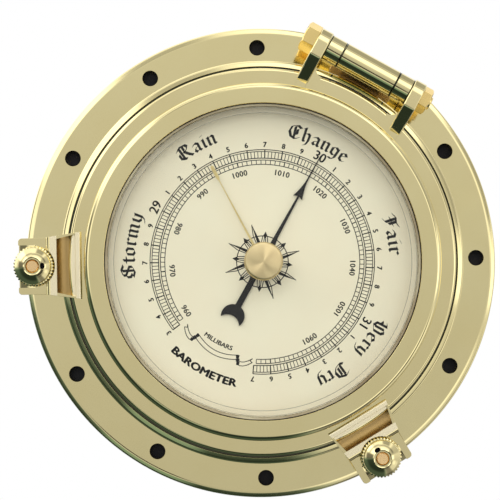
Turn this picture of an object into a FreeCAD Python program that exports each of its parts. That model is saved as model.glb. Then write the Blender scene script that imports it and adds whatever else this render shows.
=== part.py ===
"""Wall-mounted aneroid barometer in a hinged brass case that two dogs hold shut.

Every piece is drawn in the view of a person facing the dial: x to the right, y up and
z out of the wall. FRONT then turns that view to the part's frame, where +Z is up and
the dial faces -Y. The origin is on the dial's axis, in the plane of the flange's back.
"""
import FreeCAD, Part
import math
import os
import re
import Sketcher

Vector = FreeCAD.Vector
FRONT = FreeCAD.Placement(Vector(0, 0, 0), FreeCAD.Rotation(Vector(1, 0, 0), 90))
DOG_ANGLES = {"left": 210, "right": 330}

# Driving dimensions in millimetres. A "back" or "front" is a depth measured out of the wall.
DIMENSIONS = {
    # base casting
    "flange_radius": 90.0,
    "flange_front": 4.0,
    "flange_edge": 1.0,
    "collar_radius": 75.4,
    "collar_front": 20.0,
    "shoulder_round": 3.2,
    "root_round": 0.8,
    "case_bore": 66.5,
    "cover_seat_radius": 72.5,
    "cover_seat_front": 2.6,
    "ledge_radius": 61.0,
    "ledge_back": 13.4,
    "ledge_front": 16.0,
    "seal_inner": 69.0,
    "seal_outer": 71.0,
    "seal_back": 18.4,
    "seal_front": 20.25,
    "hole_circle": 82.5,
    "hole_radius": 2.8,
    # rear cover
    "cover_radius": 72.2,
    "cover_back": 1.6,
    "cover_screw_circle": 69.5,
    "vent_circle": 40.0,
    "vent_radius": 1.5,
    "access_radius": 2.6,
    # dial, its pillars and the movement plate
    "dial_radius": 65.8,
    "dial_front": 17.0,
    "dial_bore": 3.0,
    "dial_screw_circle": 63.5,
    "plate_radius": 57.0,
    "plate_back": 3.0,
    "plate_front": 4.6,
    "pillar_circle": 48.0,
    "pillar_radius": 3.0,
    # door casting
    "door_back": 20.3,
    "door_front": 24.0,
    "door_radius": 72.0,
    "door_bore": 61.6,
    "door_edge": 1.0,
    # bezel, glass, gasket and retaining ring
    "bezel_radius": 66.1,
    "bezel_front": 28.5,
    "bezel_round": 2.7,
    "bezel_opening": 58.9,
    "lip_radius": 57.8,
    "lip_back": 27.2,
    "lip_edge": 27.7,
    "glass_radius": 61.2,
    "glass_back": 23.4,
    "glass_land": 26.4,
    "glass_front": 27.0,
    "bevel_outer": 57.3,
    "bevel_inner": 55.1,
    "glass_hole": 2.4,
    "gasket_inner": 57.35,
    "gasket_outer": 61.3,
    "retainer_back": 22.0,
    "retainer_inner": 57.5,
    "retainer_outer": 61.5,
    # door hinge
    "hinge_height": 81.4,
    "hinge_depth": 24.0,
    "barrel_radius": 5.04,
    "barrel_half": 11.2,
    "collar_outer_end": 17.35,
    "ear_inner_face": 17.4,
    "ear_width": 4.7,
    "ear_radius": 5.5,
    "ear_flat": 75.8,
    "ear_toe": 65.6,
    "ear_root_radius": 3.0,
    "pin_radius": 2.5,
    "running_gap": 0.05,
    "hinge_web_half": 9.0,
    "hinge_foot_half": 13.0,
    "hinge_foot_front": 6.6,
    "hinge_head_flats": 10.0,
    "hinge_head_length": 5.1,
    "hinge_nut_flats": 9.0,
    "hinge_nut_length": 3.5,
    # dog lugs of the door
    "lug_inner": 67.0,
    "lug_outer": 80.2,
    "lug_inner_half": 12.45,
    "lug_outer_half": 10.5,
    "lug_front": 25.2,
    "lug_crest_radius": 1.6,
    "lug_clear": 76.2,
    "tab_back": 16.0,
    "tab_front": 20.0,
    "tab_end": 90.9,
    "tab_corner": 1.8,
    "tab_swing_radius": 9.8,
    "tab_swing_half": 7.9,
    "scoop_centre": 72.65,
    "scoop_radius": 3.5,
    "scoop_half": 10.4,
    "slot_half": 2.9,
    "notch_radius": 8.0,
    # dogs: swing bolt, bracket, washer and nut
    "dog_circle": 84.8,
    "pivot_depth": 10.0,
    "pivot_radius": 1.5,
    "eye_radius": 3.8,
    "eye_half": 2.6,
    "bolt_radius": 2.5,
    "bolt_front": 28.8,
    "clevis_gap_half": 2.8,
    "clevis_half": 6.2,
    "clevis_radius": 4.2,
    "bracket_foot_half": 8.6,
    "bracket_foot_front": 5.8,
    "bracket_screw_side": 4.4,
    "washer_back": 20.02,
    "washer_front": 21.0,
    "washer_radius": 6.4,
    "nut_back": 21.02,
    "nut_radius": 7.6,
    "nut_front": 29.0,
    "nut_knurl_front": 24.0,
    "nut_neck_radius": 6.2,
    "nut_dome_side": 6.75,
    "nut_dome_back": 26.5,
    "nut_dome_radius": 9.0,
    "nut_recess_radius": 3.0,
    "nut_recess_back": 28.5,
    "tommy_radius": 0.9,
    "tommy_place": 3.7,
    "tommy_back": 26.2,
    # set hand, its bush and knob
    "spindle_radius": 1.0,
    "spindle_back": 20.35,
    "knob_back": 28.1,
    "knob_radius": 7.1,
    "knob_front": 36.2,
    "bush_flange_radius": 4.2,
    "set_hand_back": 20.6,
    "set_hand_thickness": 0.5,
    "set_hand_length": 40.6,
    "set_hand_angle": 147.0,
    # indicator hand
    "hand_back": 17.9,
    "hand_thickness": 0.5,
    "hand_tip": 45.2,
    "hand_head_front": 34.6,
    "hand_barb": 27.3,
    "hand_barb_half": 1.93,
    "hand_notch": 28.0,
    "hand_tail": 19.2,
    "horn_distance": 25.3,
    "horn_half": 3.86,
    "crescent_top": 18.7,
    "crescent_hollow": 23.0,
    "crescent_radius": 4.42,
    "hub_radius": 2.4,
    # movement
    "capsule_x": -26.0,
    "capsule_radius": 19.0,
    "capsule_back": 5.2,
    "capsule_front": 9.8,
    "capsule_skin": 0.3,
    "capsule_wave": 0.45,
    "spring_bend_x": -51.0,
    "spring_bend_depth": 9.7,
    "spring_bend_radius": 3.1,
    "spring_thickness": 0.8,
    "spring_width": 14.0,
    "arbor_radius": 0.8,
    "pulley_radius": 0.7,
    "pulley_depth": 10.0,
    "bridge_back": 11.4,
    "bridge_front": 12.4,
    "bridge_post": 15.0,
    "rocker_x": 26.0,
    "rocker_depth": 6.2,
    "rocker_arm": 4.2,
    "rocker_crank": 1.9,
    "lever_y": 5.0,
    "lever_back": 14.0,
    "lever_front": 14.9,
    "collet_back": 7.2,
    "collet_front": 8.2,
    "hairspring_outer": 5.4,
}

doc = FreeCAD.newDocument("barometer")
sheet = doc.addObject("Spreadsheet::Sheet", "dims")
for row, (alias, size) in enumerate(DIMENSIONS.items(), start=1):
    sheet.set("A%d" % row, alias)
    sheet.set("B%d" % row, str(size))
    sheet.setAlias("B%d" % row, alias)
doc.recompute()

nodes = {}


# ---------------------------------------------------------------- shared helpers

def formula(text):
    """The text as an expression of another object: each alias gets the sheet's name."""
    return re.sub(r"[a-z_]+", lambda word: "dims." + word.group() if word.group() in DIMENSIONS
                  else word.group(), text)


def size_of(text):
    """The present value of a formula of sheet aliases."""
    return float(sheet.evalExpression(text))


def bind(thing, place, text):
    """Bind a property or constraint to a formula of sheet aliases."""
    thing.setExpression(place, formula(text))


def node(thing, name, placement=FRONT):
    """Register a sub-part under its own name, in its place."""
    thing.Label = name
    thing.Placement = placement
    nodes[name] = thing
    return thing


def new_body(name, placement=FRONT):
    body = doc.addObject("PartDesign::Body", name + "_body")
    return node(body, name, placement)


def about_dog(side, distance="0"):
    """Placement of a piece drawn with x along the dog's radius, moved out by a distance."""
    turn = FreeCAD.Placement(Vector(0, 0, 0), FreeCAD.Rotation(Vector(0, 0, 1), DOG_ANGLES[side]))
    move = FreeCAD.Placement(Vector(size_of(distance), 0, 0), FreeCAD.Rotation())
    return FRONT.multiply(turn).multiply(move)


def shifted(x_text):
    """Placement of a piece drawn about its own axis, which stands at x."""
    return FRONT.multiply(FreeCAD.Placement(Vector(size_of(x_text), 0, 0), FreeCAD.Rotation()))


def raised(text):
    """Sketch offset along the sketch's normal."""
    return FreeCAD.Placement(Vector(0, 0, size_of(text)), FreeCAD.Rotation())


def turned(plane, angle, text="0"):
    """Sketch offset that turns a sketch's x axis by an angle about the wall's normal."""
    axis = Vector(0, 0, 1) if plane == "XY_Plane" else Vector(0, 1, 0)
    return FreeCAD.Placement(Vector(0, 0, size_of(text)), FreeCAD.Rotation(axis, angle))


def new_sketch(body, plane, offset=None):
    support = [item for item in body.Origin.OriginFeatures if item.Role == plane][0]
    sketch = body.newObject("Sketcher::SketchObject", "Sketch")
    sketch.AttachmentSupport = [(support, "")]
    sketch.MapMode = "FlatFace"
    if offset is not None:
        sketch.AttachmentOffset = offset
    return sketch


def arc_between(start, end, radius):
    """The shorter arc of a radius; a negative radius bends it to the left of the way along."""
    chord = end - start
    half = chord.Length / 2
    rise = abs(radius) - math.sqrt(max(radius * radius - half * half, 0))
    side = Vector(chord.y, -chord.x, 0).normalize() * math.copysign(rise, radius)
    return Part.Arc(start, (start + end) / 2 + side, end)


def outline(body, plane, corners, arcs=None, offset=None):
    """Closed sketch outline. arcs gives the radius of the arc that leaves a corner."""
    arcs = arcs or {}
    sketch = new_sketch(body, plane, offset)
    points = [Vector(size_of(x), size_of(y), 0) for x, y in corners]
    count = len(points)
    pieces = []
    for i, start in enumerate(points):
        end = points[(i + 1) % count]
        if i in arcs:
            pieces.append(arc_between(start, end, size_of(arcs[i])))
        else:
            pieces.append(Part.LineSegment(start, end))
    sketch.addGeometry(pieces, False)

    def end_at(i, point):
        near_start = (sketch.getPoint(i, 1) - point).Length < (sketch.getPoint(i, 2) - point).Length
        return 1 if near_start else 2

    rules = []
    formulas = []
    for i, point in enumerate(points):
        previous = (i - 1) % count
        here = end_at(i, point)
        rules.append(Sketcher.Constraint("Coincident", previous, end_at(previous, point), i, here))
        formulas.append(None)
        rules.append(Sketcher.Constraint("DistanceX", -1, 1, i, here, point.x))
        formulas.append(corners[i][0])
        rules.append(Sketcher.Constraint("DistanceY", -1, 1, i, here, point.y))
        formulas.append(corners[i][1])
        if i not in arcs:
            continue
        far = (i + 1) % count
        chord = points[far] - point
        if abs(size_of(arcs[i])) - chord.Length / 2 > 1e-6:
            rules.append(Sketcher.Constraint("Radius", i, abs(size_of(arcs[i]))))
            formulas.append("abs(%s)" % arcs[i])
            continue
        # A half circle's radius says nothing of its centre: hold the centre midway instead.
        across = 0 if abs(chord.y) > abs(chord.x) else 1
        middle = (points[far] + point) / 2
        rule = ("DistanceX", "DistanceY")[across]
        rules.append(Sketcher.Constraint(rule, -1, 1, i, 3, middle[across]))
        formulas.append("(%s + %s) / 2" % (corners[i][across], corners[far][across]))
    sketch.addConstraint(rules)
    for i, text in enumerate(formulas):
        if text is not None:
            bind(sketch, "Constraints[%d]" % i, text)
    return sketch


def circles(body, plane, places, offset=None):
    """Sketch of circles, each given as x, y and radius."""
    sketch = new_sketch(body, plane, offset)
    for x, y, radius in places:
        centre = Vector(size_of(x), size_of(y), 0)
        i = sketch.addGeometry(Part.Circle(centre, Vector(0, 0, 1), size_of(radius)), False)
        for rule, text in (("DistanceX", x), ("DistanceY", y)):
            value = size_of(text)
            place = sketch.addConstraint(Sketcher.Constraint(rule, -1, 1, i, 3, value))
            bind(sketch, "Constraints[%d]" % place, text)
        place = sketch.addConstraint(Sketcher.Constraint("Radius", i, size_of(radius)))
        bind(sketch, "Constraints[%d]" % place, radius)
    return sketch


def polar(circle, angle):
    """Formulas of a point on a circle about the origin."""
    return "%s * cos(%s)" % (circle, angle), "%s * sin(%s)" % (circle, angle)


def bracket_screw_places():
    """Formulas of the two screws under each dog bracket, one on each side of its swing bolt."""
    places = []
    for angle in DOG_ANGLES.values():
        for side in ("-", "+"):
            x = "dog_circle * cos(%d) %s bracket_screw_side * sin(%d)" % (angle, side, angle)
            y = "dog_circle * sin(%d) %s bracket_screw_side * -cos(%d)" % (angle, side, angle)
            places.append((x, y))
    return places


def lathe(body, corners, arcs=None):
    """Turn a profile of (radius, depth) corners about the depth axis."""
    sketch = outline(body, "XZ_Plane", corners, arcs)
    turn = body.newObject("PartDesign::Revolution", "Revolution")
    turn.Profile = sketch
    turn.ReferenceAxis = (sketch, ["V_Axis"])
    turn.Angle = 360
    return turn


def pad(body, sketch, length, symmetric=False):
    feature = body.newObject("PartDesign::Pad", "Pad")
    feature.Profile = sketch
    bind(feature, "Length", length)
    if symmetric:
        feature.SideType = "Symmetric"
    return feature


def cut(body, sketch, length=None, symmetric=False, forward=True):
    """Pocket, along the sketch's normal unless forward is False; no length means through all."""
    feature = body.newObject("PartDesign::Pocket", "Pocket")
    feature.Profile = sketch
    if length is None:
        feature.Type = "ThroughAll"
    else:
        bind(feature, "Length", length)
    if symmetric:
        feature.SideType = "Symmetric"
    else:
        feature.Reversed = forward
    return feature


def around(body, feature, count):
    """Repeat a feature round the depth axis."""
    pattern = body.newObject("PartDesign::PolarPattern", "PolarPattern")
    pattern.Originals = [feature]
    pattern.Axis = (feature.Profile[0], ["N_Axis"])
    pattern.Angle = 360
    pattern.Occurrences = count
    body.Tip = pattern
    return pattern


def rounded(body, radius, wanted):
    """Fillet of every edge of the body so far that the test wants."""
    doc.recompute()
    base = body.Tip
    names = ["Edge%d" % (i + 1) for i, edge in enumerate(base.Shape.Edges) if wanted(edge)]
    feature = body.newObject("PartDesign::Fillet", "Fillet")
    feature.Base = (base, names)
    bind(feature, "Radius", radius)
    return feature


def primitive(kind, sizes, x="0", y="0", z="0", rotation=None):
    """Part primitive with its sizes and its base point bound to formulas."""
    thing = doc.addObject("Part::" + kind, kind)
    if rotation is not None:
        thing.Placement = FreeCAD.Placement(Vector(0, 0, 0), rotation)
    for name, text in sizes.items():
        bind(thing, name, text)
    for name, text in (("x", x), ("y", y), ("z", z)):
        bind(thing, "Placement.Base." + name, text)
    return thing


def joined(*things):
    feature = doc.addObject("Part::MultiFuse", "Fuse")
    feature.Shapes = list(things)
    return feature


def less(base, tool):
    feature = doc.addObject("Part::Cut", "Cut")
    feature.Base = base
    feature.Tool = tool
    return feature


def group(name, things, placement=FRONT):
    """Separate identical solids that share one node."""
    compound = doc.addObject("Part::Compound", name + "_group")
    compound.Links = list(things)
    return node(compound, name, placement)


def slotted_screw(x, y, head_back, head_front, head_radius, shank_end, shank_radius, slot_low=True):
    """Cheese-head screw along the depth axis, slotted on its back or its front face."""
    head = primitive("Cylinder", {"Radius": head_radius, "Height": "%s - (%s)" % (head_front, head_back)},
                     x, y, head_back)
    inner = head_front if slot_low else head_back
    low, high = (inner, shank_end) if slot_low else (shank_end, inner)
    shank = primitive("Cylinder", {"Radius": shank_radius, "Height": "%s - (%s)" % (high, low)}, x, y, low)
    slot_base = "%s - 0.1" % head_back if slot_low else "%s - 0.4" % head_front
    slot = primitive("Box", {"Length": "2.4 * %s" % head_radius, "Width": "0.5", "Height": "0.5"},
                     "%s - 1.2 * %s" % (x, head_radius), "%s - 0.25" % y, slot_base)
    return less(joined(head, shank), slot)


def hexagon(centre_x, centre_y, flats):
    """Formulas of a hexagon's corners, one corner straight out of the wall."""
    radius = "(%s) / sqrt(3)" % flats
    return [("%s + %s * cos(%d)" % (centre_x, radius, angle), "%s + %s * sin(%d)" % (centre_y, radius, angle))
            for angle in range(30, 390, 60)]


# ---------------------------------------------------------------- fixed case

def base_casting():
    body = new_body("base_casting")
    lathe(body, [
        ("case_bore", "cover_seat_front"),
        ("cover_seat_radius", "cover_seat_front"),
        ("cover_seat_radius", "0"),
        ("flange_radius", "0"),
        ("flange_radius", "flange_front - flange_edge"),
        ("flange_radius - flange_edge", "flange_front"),
        ("collar_radius + root_round", "flange_front"),
        ("collar_radius", "flange_front + root_round"),
        ("collar_radius", "collar_front - shoulder_round"),
        ("collar_radius - shoulder_round", "collar_front"),
        ("seal_outer", "collar_front"),
        ("seal_outer", "seal_back"),
        ("seal_inner", "seal_back"),
        ("seal_inner", "collar_front"),
        ("case_bore", "collar_front"),
        ("case_bore", "ledge_front"),
        ("ledge_radius", "ledge_front"),
        ("ledge_radius", "ledge_back"),
        ("case_bore", "ledge_back"),
    ], {4: "flange_edge", 6: "-root_round", 8: "shoulder_round"})
    # Nine of the twelve places on the screw circle have a hole: the hinge and the dogs take the others.
    holes = [polar("hole_circle", angle) + ("hole_radius",) for angle in (0, 30, 60)]
    around(body, cut(body, circles(body, "XY_Plane", holes)), 3)
    cover_holes = [polar("cover_screw_circle", 45) + ("1.25",)]
    around(body, cut(body, circles(body, "XY_Plane", cover_holes), "9"), 4)
    dial_holes = [polar("dial_screw_circle", 90) + ("1.0",)]
    deep = cut(body, circles(body, "XY_Plane", dial_holes, raised("ledge_back - 0.1")), "2.8")
    around(body, deep, 3)
    # Screws of the dog brackets and of the hinge block come from behind the flange.
    seats = [("-6", "hinge_height"), ("6", "hinge_height")] + bracket_screw_places()
    cut(body, circles(body, "XY_Plane", [place + ("1.45",) for place in seats]), "flange_front + 1")
    cut(body, circles(body, "XY_Plane", [place + ("2.8",) for place in seats]), "2.2")


def rear_cover():
    body = new_body("rear_cover")
    lathe(body, [
        ("0", "cover_back"),
        ("cover_radius", "cover_back"),
        ("cover_radius", "cover_seat_front"),
        ("0", "cover_seat_front"),
    ])
    vents = [polar("vent_circle", angle) + ("vent_radius",) for angle in (-8, 0, 8)]
    around(body, cut(body, circles(body, "XY_Plane", vents)), 3)
    around(body, cut(body, circles(body, "XY_Plane", [polar("cover_screw_circle", 45) + ("1.3",)])), 4)
    cut(body, circles(body, "XY_Plane", [("spring_bend_x + 2", "0", "access_radius")]))


def rear_cover_screws():
    screws = []
    for angle in (45, 135, 225, 315):
        x, y = polar("cover_screw_circle", angle)
        screws.append(slotted_screw(x, y, "0.4", "cover_back", "2.3", "8.5", "1.2"))
    group("rear_cover_screws", screws)


def door_seal():
    body = new_body("door_seal")
    lathe(body, [
        ("seal_inner", "seal_back"),
        ("seal_outer", "seal_back"),
        ("seal_outer", "seal_front"),
        ("seal_inner", "seal_front"),
    ])


def dog_brackets():
    for side in DOG_ANGLES:
        body = new_body("dog_bracket_" + side, about_dog(side))
        cheek = [
            ("dog_circle - clevis_radius", "flange_front"),
            ("dog_circle + clevis_radius", "flange_front"),
            ("dog_circle + clevis_radius", "pivot_depth"),
            ("dog_circle - clevis_radius", "pivot_depth"),
        ]
        pad(body, outline(body, "XZ_Plane", cheek, {2: "clevis_radius"}), "2 * clevis_half", symmetric=True)
        foot = [
            ("dog_circle - clevis_radius", "-bracket_foot_half"),
            ("dog_circle + clevis_radius", "-bracket_foot_half"),
            ("dog_circle + clevis_radius", "bracket_foot_half"),
            ("dog_circle - clevis_radius", "bracket_foot_half"),
        ]
        pad(body, outline(body, "XY_Plane", foot, offset=raised("flange_front")),
            "bracket_foot_front - flange_front")
        gap = [
            ("dog_circle - 6", "bracket_foot_front"),
            ("dog_circle + 6", "bracket_foot_front"),
            ("dog_circle + 6", "pivot_depth + 6"),
            ("dog_circle - 6", "pivot_depth + 6"),
        ]
        cut(body, outline(body, "XZ_Plane", gap), "2 * clevis_gap_half", symmetric=True)
        cut(body, circles(body, "XZ_Plane", [("dog_circle", "pivot_depth", "pivot_radius")]), symmetric=True)
        screws = [("dog_circle", "-bracket_screw_side", "1.45"), ("dog_circle", "bracket_screw_side", "1.45")]
        cut(body, circles(body, "XY_Plane", screws), "8.2")


def bracket_pins():
    for side in DOG_ANGLES:
        body = new_body("bracket_pin_" + side, about_dog(side))
        pad(body, circles(body, "XZ_Plane", [("dog_circle", "pivot_depth", "pivot_radius")]),
            "2 * clevis_half + 1.2", symmetric=True)
        rounded(body, "0.5", lambda edge: edge.Closed)


def bracket_screws():
    screws = []
    for x, y in bracket_screw_places():
        screws.append(slotted_screw(x, y, "0.3", "2.2", "2.7", "8", "1.4"))
    group("bracket_screws", screws)


def hinge_block():
    body = new_body("hinge_block")
    centre = ("hinge_height", "hinge_depth")
    pad(body, circles(body, "YZ_Plane", [centre + ("barrel_radius",)]), "2 * barrel_half", symmetric=True)
    web = [
        ("hinge_height - 3.8", "flange_front"),
        ("hinge_height + 3.8", "flange_front"),
        ("hinge_height + 3.8", "hinge_depth"),
        ("hinge_height - 3.8", "hinge_depth"),
    ]
    pad(body, outline(body, "YZ_Plane", web), "2 * hinge_web_half", symmetric=True)
    foot = [
        ("-hinge_foot_half", "hinge_height - 4.8"),
        ("hinge_foot_half", "hinge_height - 4.8"),
        ("hinge_foot_half", "hinge_height + 5.4"),
        ("-hinge_foot_half", "hinge_height + 5.4"),
    ]
    pad(body, outline(body, "XY_Plane", foot, offset=raised("flange_front")), "hinge_foot_front - flange_front")
    cut(body, circles(body, "YZ_Plane", [centre + ("pin_radius + running_gap",)]), symmetric=True)
    screws = [("-6", "hinge_height", "1.45"), ("6", "hinge_height", "1.45")]
    cut(body, circles(body, "XY_Plane", screws), "13.2")


def hinge_block_screws():
    screws = []
    for x in ("-6", "6"):
        screws.append(slotted_screw(x, "hinge_height", "0.3", "2.2", "2.7", "13", "1.4"))
    group("hinge_block_screws", screws)


def hinge_collars():
    """The two loose rings between the barrel and the ears."""
    along_x = FreeCAD.Rotation(Vector(0, 1, 0), 90)
    collars = []
    for start in ("barrel_half + running_gap", "-collar_outer_end"):
        length = "collar_outer_end - barrel_half - running_gap"
        outside = primitive("Cylinder", {"Radius": "barrel_radius", "Height": length},
                            start, "hinge_height", "hinge_depth", along_x)
        inside = primitive("Cylinder", {"Radius": "pin_radius + running_gap", "Height": length},
                           start, "hinge_height", "hinge_depth", along_x)
        collars.append(less(outside, inside))
    group("hinge_collars", collars)


# ---------------------------------------------------------------- dial and movement

def dial_plate():
    body = new_body("dial_plate")
    lathe(body, [
        ("dial_bore", "ledge_front"),
        ("dial_radius", "ledge_front"),
        ("dial_radius", "dial_front"),
        ("dial_bore", "dial_front"),
    ])
    around(body, cut(body, circles(body, "XY_Plane", [polar("dial_screw_circle", 90) + ("1.1",)])), 3)


def dial_screws():
    screws = []
    for angle in (90, 210, 330):
        x, y = polar("dial_screw_circle", angle)
        screws.append(slotted_screw(x, y, "dial_front", "dial_front + 1.1", "2.0", "ledge_back + 0.2", "0.95",
                                    slot_low=False))
    group("dial_screws", screws)


def dial_pillars():
    pillars = []
    for angle in (30, 150, 270):
        x, y = polar("pillar_circle", angle)
        post = primitive("Cylinder", {"Radius": "pillar_radius", "Height": "ledge_front - plate_front"},
                         x, y, "plate_front")
        bore = primitive("Cylinder", {"Radius": "1.25", "Height": "6.2"}, x, y, "plate_front")
        pillars.append(less(post, bore))
    group("dial_pillars", pillars)


def pillar_screws():
    screws = []
    for angle in (30, 150, 270):
        x, y = polar("pillar_circle", angle)
        screws.append(slotted_screw(x, y, "plate_back", "plate_back + 0.8", "2.4", "10.6", "1.2"))
    group("pillar_screws", screws)


def movement_plate():
    body = new_body("movement_plate")
    lathe(body, [
        ("0", "plate_back"),
        ("plate_radius", "plate_back"),
        ("plate_radius", "plate_front"),
        ("0", "plate_front"),
    ])
    pillar = polar("pillar_circle", 30)
    around(body, cut(body, circles(body, "XY_Plane", [pillar + ("1.25",)])), 3)
    around(body, cut(body, circles(body, "XY_Plane", [pillar + ("2.5",)]), "plate_back + 0.8"), 3)
    small_holes = [
        ("0", "0", "0.55"),
        ("spring_bend_x + 2", "0", "1.5"),
        ("spring_bend_x + 2", "9.5", "0.85"),
        ("spring_bend_x + 2", "-9.5", "0.85"),
        ("24", "34", "7"),
        ("24", "-34", "7"),
        ("-20", "38", "6"),
        ("-20", "-38", "6"),
    ]
    cut(body, circles(body, "XY_Plane", small_holes))
    window = [
        ("rocker_x - 2.5", "lever_y - 2.5"),
        ("rocker_x + 4.5", "lever_y - 2.5"),
        ("rocker_x + 4.5", "lever_y + 4.5"),
        ("rocker_x - 2.5", "lever_y + 4.5"),
    ]
    cut(body, outline(body, "XY_Plane", window))


def capsule():
    """Corrugated vacuum chamber: two thin waved diaphragms joined at the rim."""
    body = new_body("capsule", shifted("capsule_x"))
    waves = 10
    steps = ["capsule_radius * %d / %d" % (step, waves + 1) for step in range(2, waves + 1)]

    def skin(depth, sign):
        row = []
        for i, radius in enumerate(steps):
            shift = "capsule_wave" if i % 2 else "0"
            row.append((radius, "%s - (%d) * %s" % (depth, sign, shift)))
        return row

    outside_front = [("0", "capsule_front")] + skin("capsule_front", 1)
    inside_front = [("0", "capsule_front - capsule_skin")] + skin("capsule_front - capsule_skin", 1)
    outside_back = [("0", "capsule_back")] + skin("capsule_back", -1)
    inside_back = [("0", "capsule_back + capsule_skin")] + skin("capsule_back + capsule_skin", -1)
    rim_outside = [("capsule_radius", "capsule_front - 1.6"), ("capsule_radius", "capsule_back + 1.6")]
    rim_inside = [("capsule_radius - 0.5", "capsule_back + 1.9"), ("capsule_radius - 0.5", "capsule_front - 1.9")]
    corners = outside_back + rim_outside[::-1] + outside_front[::-1]
    corners += inside_front + rim_inside[::-1] + inside_back[::-1]
    lathe(body, corners)


def capsule_foot():
    body = new_body("capsule_foot", shifted("capsule_x"))
    lathe(body, [("0", "plate_front"), ("5", "plate_front"), ("5", "capsule_back"), ("0", "capsule_back")])


def capsule_post():
    """Boss and post on the front diaphragm, with the head that the mainspring pulls on."""
    body = new_body("capsule_post", shifted("capsule_x"))
    lathe(body, [
        ("0", "capsule_front"),
        ("3.2", "capsule_front"),
        ("3.2", "capsule_front + 0.8"),
        ("1.5", "capsule_front + 0.8"),
        ("1.5", "13.2"),
        ("2.6", "13.2"),
        ("2.6", "13.6"),
        ("0", "13.6"),
    ])


def mainspring():
    """C-shaped leaf spring; its front leg pulls the capsule's post outwards."""
    body = new_body("mainspring")
    outer = "spring_bend_radius + spring_thickness / 2"
    inner = "spring_bend_radius - spring_thickness / 2"
    middle = "spring_bend_depth"
    corners = [
        ("spring_bend_x + 4.5", "%s - (%s)" % (middle, outer)),
        ("spring_bend_x + 4.5", "%s - (%s)" % (middle, inner)),
        ("spring_bend_x", "%s - (%s)" % (middle, inner)),
        ("spring_bend_x", "%s + %s" % (middle, inner)),
        ("capsule_x + 4", "%s + %s" % (middle, inner)),
        ("capsule_x + 4", "%s + %s" % (middle, outer)),
        ("spring_bend_x", "%s + %s" % (middle, outer)),
        ("spring_bend_x", "%s - (%s)" % (middle, outer)),
    ]
    bends = {2: "-(%s)" % inner, 6: outer}
    sketch = outline(body, "XZ_Plane", corners, bends)
    pad(body, sketch, "spring_width", symmetric=True)
    cut(body, circles(body, "XY_Plane", [("capsule_x", "0", "1.9")]))


def spring_bridge():
    body = new_body("spring_bridge")
    bar = [
        ("spring_bend_x - 1.5", "-12"),
        ("spring_bend_x + 5.5", "-12"),
        ("spring_bend_x + 5.5", "12"),
        ("spring_bend_x - 1.5", "12"),
    ]
    back_leg = "spring_bend_depth - spring_bend_radius - spring_thickness / 2"
    pad(body, outline(body, "XY_Plane", bar, offset=raised("plate_front")), back_leg + " - plate_front")
    holes = [("spring_bend_x + 2", "-9.5", "0.85"), ("spring_bend_x + 2", "9.5", "0.85")]
    cut(body, circles(body, "XY_Plane", holes))


def spring_bridge_screws():
    screws = []
    back_leg = "spring_bend_depth - spring_bend_radius - spring_thickness / 2"
    for y in ("-9.5", "9.5"):
        screws.append(slotted_screw("spring_bend_x + 2", y, back_leg, back_leg + " + 0.9", "1.6",
                                    "plate_back", "0.8", slot_low=False))
    group("spring_bridge_screws", screws)


def adjusting_screw():
    body = new_body("adjusting_screw", shifted("spring_bend_x + 2"))
    lathe(body, [("0", "1.7"), ("2.2", "1.7"), ("2.2", "2.9"), ("1.45", "2.9"), ("1.45", "4.55"), ("0", "4.55")])
    slot = [("-3", "-0.3"), ("3", "-0.3"), ("3", "0.3"), ("-3", "0.3")]
    cut(body, outline(body, "XY_Plane", slot), "2.2")


def arbor_bridge():
    body = new_body("arbor_bridge")
    bar = [
        ("3", "-bridge_post"),
        ("3", "bridge_post"),
        ("-3", "bridge_post"),
        ("-3", "-bridge_post"),
    ]
    sketch = outline(body, "XY_Plane", bar, {1: "3", 3: "3"}, raised("bridge_back"))
    pad(body, sketch, "bridge_front - bridge_back")
    holes = [("0", "0", "arbor_radius + running_gap"), ("0", "bridge_post", "0.85"), ("0", "-bridge_post", "0.85")]
    cut(body, circles(body, "XY_Plane", holes))


def arbor_bridge_posts():
    posts = []
    for y in ("bridge_post", "-bridge_post"):
        post = primitive("Cylinder", {"Radius": "2.0", "Height": "bridge_back - plate_front"}, "0", y, "plate_front")
        bore = primitive("Cylinder", {"Radius": "0.85", "Height": "4"}, "0", y, "bridge_back - 4")
        posts.append(less(post, bore))
    group("arbor_bridge_posts", posts)


def arbor_bridge_screws():
    screws = []
    for y in ("bridge_post", "-bridge_post"):
        screws.append(slotted_screw("0", y, "bridge_front", "bridge_front + 0.8", "1.6", "bridge_back - 3.8",
                                    "0.8", slot_low=False))
    group("arbor_bridge_screws", screws)


def rocker_standards():
    standards = []
    across = FreeCAD.Rotation(Vector(1, 0, 0), -90)
    for y in ("-5.6", "11.4"):
        plate = primitive("Box", {"Length": "3", "Width": "1.2", "Height": "3.4"}, "rocker_x - 1.5", y, "plate_front")
        bore = primitive("Cylinder", {"Radius": "0.45", "Height": "1.2"}, "rocker_x", y, "rocker_depth", across)
        standards.append(less(plate, bore))
    group("rocker_standards", standards)


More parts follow.
